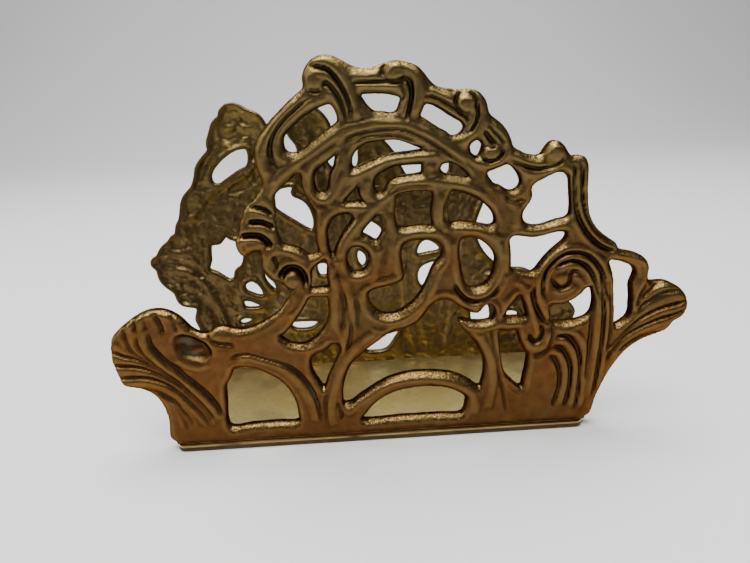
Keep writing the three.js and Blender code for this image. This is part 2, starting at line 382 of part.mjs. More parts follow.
// Gives a closed triangle mesh, turned so that its faces look outwards.
function closedMesh(positions, index) {
  let volume = 0;
  for (let i = 0; i < index.length; i += 3) {
    const [a, b, c] = [0, 1, 2].map((k) => {
      return new THREE.Vector3().fromArray(positions, 3 * index[i + k]);
    });
    volume += a.dot(b.cross(c));
  }
  if (volume < 0) {
    for (let i = 0; i < index.length; i += 3) {
      [index[i + 1], index[i + 2]] = [index[i + 2], index[i + 1]];
    }
  }
  const geometry = new THREE.BufferGeometry();
  geometry.setAttribute('position', new THREE.Float32BufferAttribute(positions, 3));
  geometry.setIndex(index);
  return geometry;
}

// A raised rib with sloping sides, sunk a little into the plate below it.
function rib(entry, place) {
  const width = entry[0];
  const knots = toVectors(entry, 1).map((p) => new THREE.Vector3(p.x, p.y, 0));
  const curve = new THREE.CatmullRomCurve3(knots, false, 'centripetal');
  const count = Math.max(2, Math.round(curve.getLength() / RIB_STATION));
  const positions = [];
  const index = [];
  for (let i = 0; i <= count; i += 1) {
    const p = curve.getPointAt(i / count);
    const t = curve.getTangentAt(i / count);
    const half = (width / 2) * (i === 0 || i === count ? RIB_END_SHARE : 1);
    const top = half * RIB_TOP_SHARE;
    const section = [[-half, -RIB_SINK], [half, -RIB_SINK], [top, RIDGE_RISE], [-top, RIDGE_RISE]];
    for (const [side, rise] of section) {
      positions.push(...place(p.x - t.y * side, WEB_THICK + rise, p.y + t.x * side));
    }
  }
  for (let i = 0; i < count; i += 1) {
    for (let k = 0; k < 4; k += 1) {
      const a = 4 * i + k;
      const b = 4 * i + ((k + 1) % 4);
      index.push(a, b, b + 4, a, b + 4, a + 4);
    }
  }
  const last = 4 * count;
  index.push(0, 2, 1, 0, 3, 2, last, last + 1, last + 2, last, last + 2, last + 3);
  return closedMesh(positions, index);
}

function toManifold(geometry) {
  const bare = new THREE.BufferGeometry();
  bare.setAttribute('position', geometry.getAttribute('position').clone());
  if (geometry.index) {
    bare.setIndex(geometry.index.clone());
  }
  const merged = mergeVertices(bare, WELD);
  return new wasm.Manifold(new wasm.Mesh({
    numProp: 3,
    vertProperties: new Float32Array(merged.getAttribute('position').array),
    triVerts: new Uint32Array(merged.index.array),
  }));
}

function fromManifold(solid) {
  const mesh = solid.getMesh();
  const geometry = new THREE.BufferGeometry();
  const positions = new THREE.Float32BufferAttribute(mesh.vertProperties, mesh.numProp);
  geometry.setAttribute('position', positions);
  geometry.setIndex(Array.from(mesh.triVerts));
  return geometry;
}

// A body of revolution about a vertical axis, from radius, height pairs.
function turned(profile, x, y) {
  const points = profile.map(([r, z]) => new THREE.Vector2(r, z));
  const geometry = new THREE.LatheGeometry(points, SCREW_SIDES);
  geometry.rotateX(Math.PI / 2);
  geometry.translate(x, y, 0);
  return geometry;
}

// The space that a screw takes with its clearance, open below the plate.
function screwHole(x, y) {
  const shank = SHANK_RADIUS + GAP;
  const head = HEAD_RADIUS + GAP;
  const profile = [
    [0, -1],
    [head, -1],
    [head, HEAD_RIM],
    [shank, HEAD_DEPTH + HEAD_RIM],
    [shank, SCREW_TOP + GAP],
    [0, SCREW_TOP + GAP],
  ];
  return turned(profile, x, y);
}

// A countersunk screw, head down, with its driving slot turned by chance.
function screw(x, y) {
  const profile = [
    [0, HEAD_RECESS],
    [HEAD_RADIUS, HEAD_RECESS],
    [HEAD_RADIUS, HEAD_RECESS + HEAD_RIM],
    [SHANK_RADIUS, HEAD_DEPTH],
    [SHANK_RADIUS, SCREW_TOP - SCREW_TIP],
    [SHANK_RADIUS - SCREW_TIP, SCREW_TOP],
    [0, SCREW_TOP],
  ];
  const slot = new THREE.BoxGeometry(3 * HEAD_RADIUS, DRIVE_SLOT_WIDTH, 2 * DRIVE_SLOT_DEPTH);
  slot.rotateZ(0.3 * x);
  slot.translate(x, y, HEAD_RECESS);
  return fromManifold(toManifold(turned(profile, x, y)).subtract(toManifold(slot)));
}

function panel(outline, openings, ribs, place, screwY) {
  let solid = toManifold(piercedPlate(outline, openings, place));
  for (const entry of ribs) {
    solid = solid.add(toManifold(rib(entry, place)));
  }
  for (const x of SCREW_X) {
    solid = solid.subtract(toManifold(screwHole(x, screwY)));
  }
  return fromManifold(solid);
}

function basePlate() {
  const w = PLATE_WIDTH / 2 - PLATE_EDGE;
  const d = PLATE_DEPTH / 2 - PLATE_EDGE;
  const r = PLATE_CORNER;
  const shape = new THREE.Shape();
  shape.moveTo(-w + r, -d);
  shape.lineTo(w - r, -d);
  shape.absarc(w - r, -d + r, r, -Math.PI / 2, 0);
  shape.lineTo(w, d - r);
  shape.absarc(w - r, d - r, r, 0, Math.PI / 2);
  shape.lineTo(-w + r, d);
  shape.absarc(-w + r, d - r, r, Math.PI / 2, Math.PI);
  shape.lineTo(-w, -d + r);
  shape.absarc(-w + r, -d + r, r, Math.PI, 1.5 * Math.PI);
  const geometry = new THREE.ExtrudeGeometry(shape, {
    depth: PLATE_THICK - 2 * PLATE_EDGE,
    bevelEnabled: true,
    bevelThickness: PLATE_EDGE,
    bevelSize: PLATE_EDGE,
    bevelSegments: 2,
    curveSegments: 5,
  });
  geometry.translate(0, 0, PLATE_EDGE);
  let solid = toManifold(geometry);
  for (const x of SCREW_X) {
    solid = solid.subtract(toManifold(screwHole(x, -SCREW_Y)));
    solid = solid.subtract(toManifold(screwHole(x, SCREW_Y)));
  }
  return fromManifold(solid);
}

function material(name, colour, roughness) {
  const result = new THREE.MeshStandardMaterial({ color: colour, roughness, metalness: 1 });
  result.name = name;
  return result;
}

// ---- assembly --------------------------------------------------------------
const group = new THREE.Group();
group.name = 'letter_rack';

function addMesh(name, geometry, meshMaterial) {
  const mesh = new THREE.Mesh(geometry, meshMaterial);
  mesh.name = name;
  group.add(mesh);
}

const frontPlace = (x, depth, z) => [x, FRONT_INNER_Y - depth, z];
const rearPlace = (x, depth, z) => [x, REAR_INNER_Y + depth, z];

addMesh('base_plate', basePlate(), material('plate_brass', 0xa99a5c, 0.35));
addMesh('front_panel', panel(FRONT_OUTLINE, FRONT_OPENINGS, FRONT_RIBS, frontPlace, -SCREW_Y),
  material('front_brass', 0x7a5630, 0.4));
addMesh('rear_panel', panel(REAR_OUTLINE, REAR_OPENINGS, REAR_RIBS, rearPlace, SCREW_Y),
  material('rear_brass', 0x6b5526, 0.5));
SCREW_X.forEach((x, i) => {
  for (const [side, y] of [['front', -SCREW_Y], ['rear', SCREW_Y]]) {
    const name = `${side}_screw_${i + 1}`;
    addMesh(name, screw(x, y), material(`${name}_brass`, 0x9a8450, 0.4));
  }
});

export default group;
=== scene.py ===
"""Two pierced castings stand on a flat plate. Each casting is a relief built over a fine
grid: the outline and the openings are smooth lines through listed points, the edge
is rolled over, and ribs, creases and knobs are laid on it as strokes.
Points are millimetres, x to the right and z up, as they are in the CAD part.
"""
import math

import bpy
import numpy as np
from mathutils import Matrix, Vector


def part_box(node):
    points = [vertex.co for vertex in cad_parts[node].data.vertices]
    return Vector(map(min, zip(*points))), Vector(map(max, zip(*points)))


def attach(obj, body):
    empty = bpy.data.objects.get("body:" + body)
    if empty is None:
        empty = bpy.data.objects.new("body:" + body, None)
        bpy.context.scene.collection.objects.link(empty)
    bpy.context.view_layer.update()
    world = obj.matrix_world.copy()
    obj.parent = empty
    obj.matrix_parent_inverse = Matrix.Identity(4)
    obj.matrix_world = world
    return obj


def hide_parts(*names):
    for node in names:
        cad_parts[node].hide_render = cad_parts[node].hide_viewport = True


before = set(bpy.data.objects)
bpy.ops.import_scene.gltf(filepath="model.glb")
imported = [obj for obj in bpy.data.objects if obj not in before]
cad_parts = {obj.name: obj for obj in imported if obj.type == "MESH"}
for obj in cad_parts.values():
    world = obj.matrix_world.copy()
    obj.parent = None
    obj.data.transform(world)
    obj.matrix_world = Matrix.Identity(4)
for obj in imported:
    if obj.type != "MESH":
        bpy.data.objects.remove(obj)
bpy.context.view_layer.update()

MM = 0.001
GRID = 0.51             # spacing of the grid that the castings are built on
REACH = 6.0             # how far from an edge distances are worked out
STEP = 0.8              # spacing of the points along a smooth line
TINY = 1e-6             # stands in for the length of a span that has none

# ---------------------------------------------------------------- front casting
FRONT_OUTLINE = [
    -69.5, 2.7, -71.8, 4.5, -71.8, 8.1, -71.6, 11.3, -72, 14.9, -72.5, 17, -73.4, 19.1, -74.3, 20.6,
    -75.7, 22, -77.5, 23, -79.6, 23.8, -81.8, 24.3, -83.6, 25, -84.5, 26.1, -85, 27.7, -85.4, 29.5,
    -85.9, 31.6, -86.4, 34.1, -86.3, 37.4, -85.9, 39.9, -85, 42.6, -83.2, 44.6, -81, 46.3, -78.6, 48,
    -76, 49.5, -73.5, 50.5, -70.8, 50.9, -68.2, 50.7, -65.8, 49.7, -63.4, 48, -61.6, 45.8, -59.8, 43.6,
    -57.6, 42.2, -55.2, 41.9, -53.4, 42.9, -51.8, 43.8, -49.6, 43.9, -47, 43, -44.5, 42.5, -41.5, 42.8,
    -38.5, 43.9, -35.8, 45.3, -33, 47, -30.8, 48.9, -29.2, 50.9, -27.8, 52.7, -27.6, 54.6, -28.8, 56.8,
    -30.4, 58.4, -31.9, 58.7, -33.4, 60.4, -34.8, 62.2, -35.4, 64, -35.1, 66.4, -36, 68.2, -38, 67.9,
    -40, 66.9, -41.6, 68, -42.5, 70.2, -42.5, 72.4, -41.6, 73.6, -41.1, 75.6, -40.6, 77.8, -39.6, 79.8,
    -39, 81.6, -37.6, 83.2, -35.6, 84.8, -34.2, 86.7, -32.9, 88.5, -32.6, 90.6, -33.5, 92.8, -34, 95,
    -34.3, 97.6, -34, 100, -32.8, 102.6, -31, 105, -28.6, 107.8, -25.8, 110.3, -22.8, 113, -20.2, 115,
    -18.5, 116.4, -18.4, 119.2, -17.7, 121.4, -16.4, 123.2, -14.7, 124.5, -12.4, 125.1, -10.2, 125,
    -8.1, 124.2, -6, 123, -3.8, 121.8, -1.4, 121.1, 1.2, 121.2, 3.9, 121.8, 6.2, 122.5, 8.6, 122.8,
    10.8, 122.4, 13, 121.8, 15, 120.8, 16.5, 119.2, 17.9, 117.4, 19.2, 115.9, 21.4, 114.9, 24.2, 114.4,
    27.2, 114, 29.6, 114.1, 31.9, 113.5, 33.5, 112.2, 34.6, 110.7, 35.2, 108.8, 35.8, 106.8, 37, 105.7,
    38.8, 104.3, 40.5, 102.5, 41.7, 100.6, 42.5, 98.6, 43.1, 96.8, 44.8, 95.8, 47, 94.6, 49.4, 94,
    51.6, 94.1, 52.6, 95.6, 54, 97.4, 55.8, 98.1, 57.5, 97.5, 58.9, 96.1, 59.9, 94.4, 61, 93.2,
    63.4, 93.3, 65, 92.8, 66, 91.4, 66.5, 89.4, 66.6, 86, 66.7, 82, 67.1, 78, 67.8, 74.8, 69, 72.2,
    70.6, 70, 72.8, 68, 75, 66.4, 76.8, 65, 77.8, 63.2, 79.6, 62.3, 81.9, 61.8, 84.3, 61.1, 86.5, 59.9,
    88, 58.2, 88.6, 56, 88.4, 53.8, 89.4, 51.4, 91.5, 51.2, 93.8, 51.2, 96.2, 50.8, 98.2, 49.9, 100, 48.8,
    101.4, 47.4, 102.5, 45.9, 103.2, 43.8, 103.3, 41.3, 102.4, 39.1, 101, 37.8, 99.2, 36.9, 97.8, 35,
    96.2, 33.7, 94, 32.8, 91, 31.9, 87.8, 30.6, 84.9, 28.8, 82.4, 26.6, 80.3, 23.8, 78.1, 20.2,
    76.4, 16.6, 75.1, 13.4, 73.9, 9.9, 73.1, 6.3, 72.2, 3.8, 70.2, 2.7, 64, 2.7, 22, 2.7, -22, 2.7,
    -64, 2.7,
]

FRONT_OPENINGS = [
    # left window and the small triangle beside the leaning stems
    [-52, 6.9, -44, 7, -36, 7.2, -28.3, 7.4, -28.1, 11.6, -28.5, 15.2, -29.6, 18.4, -31.3, 21.6,
     -33.8, 24.4, -36.9, 26.6, -40.4, 28.6, -44, 29.5, -47.9, 29.4, -49.8, 26, -51.8, 22.8, -52.3, 17],
    [-22.5, 31.2, -20.5, 32.8, -17.4, 34, -15.2, 35.8, -13.2, 35.8, -12.4, 33.4, -14.2, 29, -17, 23.4,
     -18.8, 19.6, -21, 22.6, -22.8, 27],
    # wide central window above the low arch
    [-12.6, 13, -12.9, 17.2, -12.2, 21.8, -11.1, 25.2, -9.7, 28, -7.9, 29.9, -4.4, 33, -1.9, 34.9,
     0.5, 36.5, 2.8, 38.1, 5, 39.6, 8, 39.9, 10.8, 40.8, 13.1, 42, 14.9, 44, 16.4, 46, 18.2, 47.9,
     20.6, 49.2, 23, 49.3, 25, 48.4, 27.1, 46.8, 29.4, 45.3, 31.4, 44.3, 33.2, 44, 34.6, 45.4, 36, 46.8,
     37.8, 46.7, 39, 45, 39.2, 42.8, 38.2, 41, 35.6, 40.3, 32.6, 40.3, 29.8, 40.9, 27.2, 41.3, 28, 39.4,
     29.7, 37.3, 31.4, 35.2, 33.2, 32.6, 34.4, 29.9, 35.3, 27.6, 35.8, 25, 35.8, 22, 35.3, 19, 34.2, 16.2,
     32.4, 17, 30.4, 18.7, 27.6, 20.4, 24.3, 21.8, 20, 22.6, 15, 23, 10, 22.9, 5.2, 21.9, 2, 20.8,
     -1, 19.2, -3.8, 17.4, -6.9, 15.4, -10, 13.2],
    # half-moon under the low arch
    [-6.9, 6.6, -4.9, 10, -2.8, 12.5, 0.2, 14.8, 3.4, 16.5, 6.6, 17.6, 10.5, 18.2, 15, 18.4, 20, 18,
     24.3, 16.9, 27, 15.4, 29.4, 13.2, 29.6, 10.4, 28.2, 6.5, 20, 6.3, 8, 6.3],
    # window between the stem and the hooked leaf, and the triangle above it
    [40.4, 37.4, 43, 37, 46.4, 37, 47.2, 35, 47.9, 32.7, 49, 30.2, 50.5, 27.7, 50.5, 24.6, 49.8, 20.4,
     48.6, 15.2, 47, 16, 44.4, 18.6, 42.4, 21.2, 41.4, 24.2, 40.8, 27.8, 40.4, 32],
    [47, 49.2, 45, 47, 43, 44.6, 41.7, 42.2, 43.4, 41.3, 46, 41.2, 49.6, 41.1, 49.2, 44, 48.2, 47],
    # left cup and the small hole above it
    [-32.3, 39.8, -30.7, 40.6, -28.3, 43, -26.1, 45.7, -24, 48.6, -22.3, 51.4, -21.2, 52.7, -18.4, 52.6,
     -15.6, 52.3, -15.3, 49.5, -15.4, 46, -16.3, 43, -18.2, 40, -20.7, 37.6, -23.7, 35.9, -27, 35.7,
     -30, 37],
    [-20.8, 55.2, -20.6, 58, -20.1, 61.4, -19, 62.9, -17.4, 63.9, -15.7, 65, -14.9, 63.4, -15.1, 60,
     -15.2, 55.4, -18, 55],
    # large left loop
    [9, 57.6, 8.8, 60.5, 8.4, 63.5, 8.4, 66.3, 9.3, 68.4, 11.5, 69.5, 14.5, 69.8, 17.5, 69.6, 20, 68.8,
     21.6, 67.2, 22, 65.2, 21.2, 63, 19.6, 61.3, 18.4, 59.4, 17.4, 57, 16.3, 54.5, 14.8, 51.8, 13.1, 49.4,
     11.2, 47.6, 9, 46.1, 7, 45.1, 4.6, 44.6, 2.3, 44.8, 0.2, 45.9, -1.3, 47.5, -2.4, 49.8, -2.7, 52,
     -2, 53.6, 0.2, 54.4, 2.8, 54.9, 5.6, 55.6, 7.8, 56.3],
    # right loop
    [27.4, 69.2, 29.5, 69.7, 32, 69.4, 34.4, 68.3, 36.5, 66.5, 38.2, 64.3, 39, 62.2, 38.8, 59.6, 38.2, 57,
     37, 54.7, 35.4, 53, 33.4, 52.1, 31.4, 52.1, 29.6, 53, 28.5, 54.9, 27.8, 57.5, 27.3, 60.5, 27, 63.5,
     26.8, 66.5],
    # two windows of the trunk
    [7.6, 84.2, 10, 84.9, 13.5, 85.3, 17, 85.1, 18.9, 84.3, 19.1, 82, 18.6, 79, 18.5, 76.5, 18.9, 74.2,
     18.4, 73.3, 16, 73.7, 12.5, 73.5, 9.6, 73.2, 8, 73.8, 7.1, 75.6, 6.8, 78.5, 7, 81.5],
    [24.4, 84.4, 27.5, 84.2, 30.4, 83.1, 33.2, 81.5, 35.6, 79.6, 37.4, 77.6, 38.4, 75.6, 38.4, 73.4,
     36.8, 72.6, 34.2, 73.1, 30.7, 73.8, 27, 74.2, 24.4, 74.1, 23.6, 75.7, 23.3, 78, 23.4, 81],
    # windows right of the trunk
    [43, 68.2, 44.3, 69.3, 47, 69.2, 50, 68.7, 53.2, 68.9, 56.6, 69.7, 59.4, 70, 61.5, 69.4, 61.8, 68,
     60.6, 66.2, 58, 64, 55.9, 62, 54, 59.7, 52.2, 57.3, 50.4, 56.2, 48, 56.7, 45.8, 57.3, 43.9, 58,
     43.5, 60, 43.4, 63, 43.1, 65.8],
    [46.7, 76, 47.6, 78, 48.9, 79.8, 49.6, 81.6, 49.3, 83.4, 49.7, 84.9, 51, 86, 53.2, 87, 55.4, 88.1,
     58, 88.8, 60.4, 88.1, 61.6, 86.5, 62, 84.2, 62.2, 81.8, 62.5, 79.2, 62.6, 76.8, 62.2, 74.6,
     60.6, 73.6, 58.2, 73.2, 55.9, 72.5, 53.8, 71.9, 51, 71.7, 48.8, 72.4, 47.2, 73.8],
    [35.4, 89.6, 37.9, 90.6, 39.8, 91.3, 41.8, 91.9, 43.4, 91.2, 45, 89.4, 46.2, 87.2, 46.2, 85.1,
     45, 83.7, 43.2, 83.2, 41.3, 83.9, 39.8, 85, 38, 85.6, 36.5, 87.1],
    [30, 97.8, 32.3, 99.6, 34.3, 98.3, 34, 96, 32.7, 94.2, 30.7, 95.2],
    # windows of the outer arc
    [17, 110.6, 19.3, 110.2, 21.5, 109, 23.7, 107.5, 25.9, 106.1, 27.9, 104.9, 28.8, 103.4, 28, 101.8,
     26.5, 100.8, 24.8, 100.7, 22.8, 102.1, 20.6, 103.3, 18.4, 104.8, 16.4, 106.2, 15.2, 106.9,
     15.8, 108.6],
    [-1.9, 113.9, 2, 114.2, 5.4, 114, 8.2, 113.4, 10, 112.6, 9.6, 110.8, 8.7, 108.8, 7, 108.1, 4.6, 108.5,
     2, 108.8, 0.4, 110, -1, 111.8],
    [-10.9, 111.8, -9.7, 110.4, -8.9, 108.2, -8.9, 106.6, -10.2, 105.4, -12.2, 104.2, -14.6, 102.6,
     -17, 100.9, -19.2, 99.2, -21.4, 98.1, -23.6, 97.8, -25.2, 98.8, -25.7, 100.8, -25.4, 102.8,
     -24.1, 104.5, -22, 106.3, -19.8, 108, -17.6, 109.4, -15.4, 110.5, -13.2, 111.4],
    # tall gap behind the scalloped leaf
    [-29.8, 85.6, -28.2, 87.4, -26.4, 89.1, -24.4, 90.7, -22.5, 92, -21.1, 92, -20.7, 89.6, -20.3, 87.2,
     -19.5, 84.9, -18.4, 82.8, -17.3, 80.8, -17.2, 78.8, -17.6, 76.2, -17.7, 72.8, -17.5, 69.8,
     -17.1, 67.2, -18.6, 66.5, -20.3, 66, -21.6, 66.8, -23, 68, -25, 69, -27.2, 69.6, -28.6, 70.2,
     -29.2, 71.6, -29.9, 74, -30.2, 76.4, -30.3, 78.8, -29.9, 80.6, -29.9, 83],
    # loops of the inner arc
    [-9.6, 97.8, -11, 96.7, -12.8, 95.4, -15, 94, -16.6, 92.6, -17.3, 90.6, -17.2, 88.2, -16.5, 86.4,
     -15.2, 85.6, -13.9, 85.8, -13, 87.1, -12.6, 89.4, -12, 91.6, -10.9, 93.6, -10.3, 95.8],
    [-5.4, 93.2, -5.5, 95.8, -4.4, 97.8, -2.8, 99.2, -0.8, 100.1, 1.8, 100.6, 4.3, 100.8, 6.5, 100.9,
     9, 100.6, 11.5, 99.7, 14, 98.6, 16.4, 97.4, 12.4, 96.7, 9.6, 96.5, 6.4, 96.2, 3.4, 95.6, 0, 94.4,
     -2.6, 93.4, -4.2, 92.7],
    [2.5, 90.8, 5, 92.2, 8, 93, 11, 93.2, 14, 93.2, 15.8, 93.1, 15.9, 91.6, 15.8, 90.4, 13.5, 89.8,
     10.5, 89.6, 7.4, 89, 5.4, 87.8, 4.6, 86, 3.4, 84.9, 1.8, 85, 0.9, 86.5, 0.8, 88.4, 1.3, 89.8],
    [21, 91.3, 21.8, 92.8, 23.6, 93.2, 25.8, 92.8, 27.8, 91.6, 29.4, 89.9, 30.4, 88.4, 28.8, 88.4,
     26.8, 88.7, 24.4, 89.2, 22.2, 89.7],
    [-3.5, 88, -5, 86.6, -7, 84.7, -8.4, 83, -8, 82.5, -6, 82.6, -4, 82.5, -2.2, 82, -2.9, 83.2,
     -3.6, 84.8, -3.7, 86.6],
    # loops beside the trunk
    [-12.4, 77.8, -10.4, 78.9, -8.3, 79.2, -6.5, 78.8, -5.7, 77.8, -6.6, 76.2, -8, 74.5, -9.4, 72.7,
     -10.5, 70.9, -11.5, 69, -12.2, 67, -12.9, 65.4, -13.7, 66.8, -14.3, 69, -14.4, 71.6, -14.3, 74,
     -13.5, 76.2],
    [-3.6, 72.4, -2.3, 74.6, -0.4, 76.6, 1.8, 78.3, 2.9, 77.2, 3.3, 75, 3, 72.6, 2, 70.8, 0.9, 69.6,
     -0.4, 70.3, -2, 71.4],
    [-8.5, 66.2, -7.4, 68.1, -5.6, 68.6, -3.7, 68, -2.2, 66.7, -1.5, 64.6, -1.9, 62.3, -3.1, 60.4,
     -4.8, 59.7, -6.8, 60.2, -8.2, 61.7, -8.8, 63.8],
    # eye of the right scroll and the slot behind the shell hook
    [57.2, 39.6, 57.1, 42, 56.8, 44.2, 57.3, 45.5, 59, 45.4, 60.9, 45.4, 63, 46.1, 65.2, 47.2, 67.2, 48.8,
     68.9, 50.6, 70.4, 50.8, 71.3, 49.4, 71.9, 47.3, 72, 44.8, 71.6, 42.2, 70.2, 40.1, 67.5, 39,
     63.5, 38.5, 60, 38.6],
    [75.6, 59.4, 77.5, 59.6, 79.8, 59, 82.2, 58, 84.1, 56.8, 85, 55.2, 84.7, 53, 84, 51, 84.1, 48.6,
     84.5, 46, 84.5, 43.6, 84.6, 41.4, 84, 39.3, 82.5, 37.7, 80.4, 36.5, 79, 36.6, 78.6, 39, 78.4, 42,
     78, 46, 77.6, 49.6, 77.3, 53, 76.6, 55.8],
]

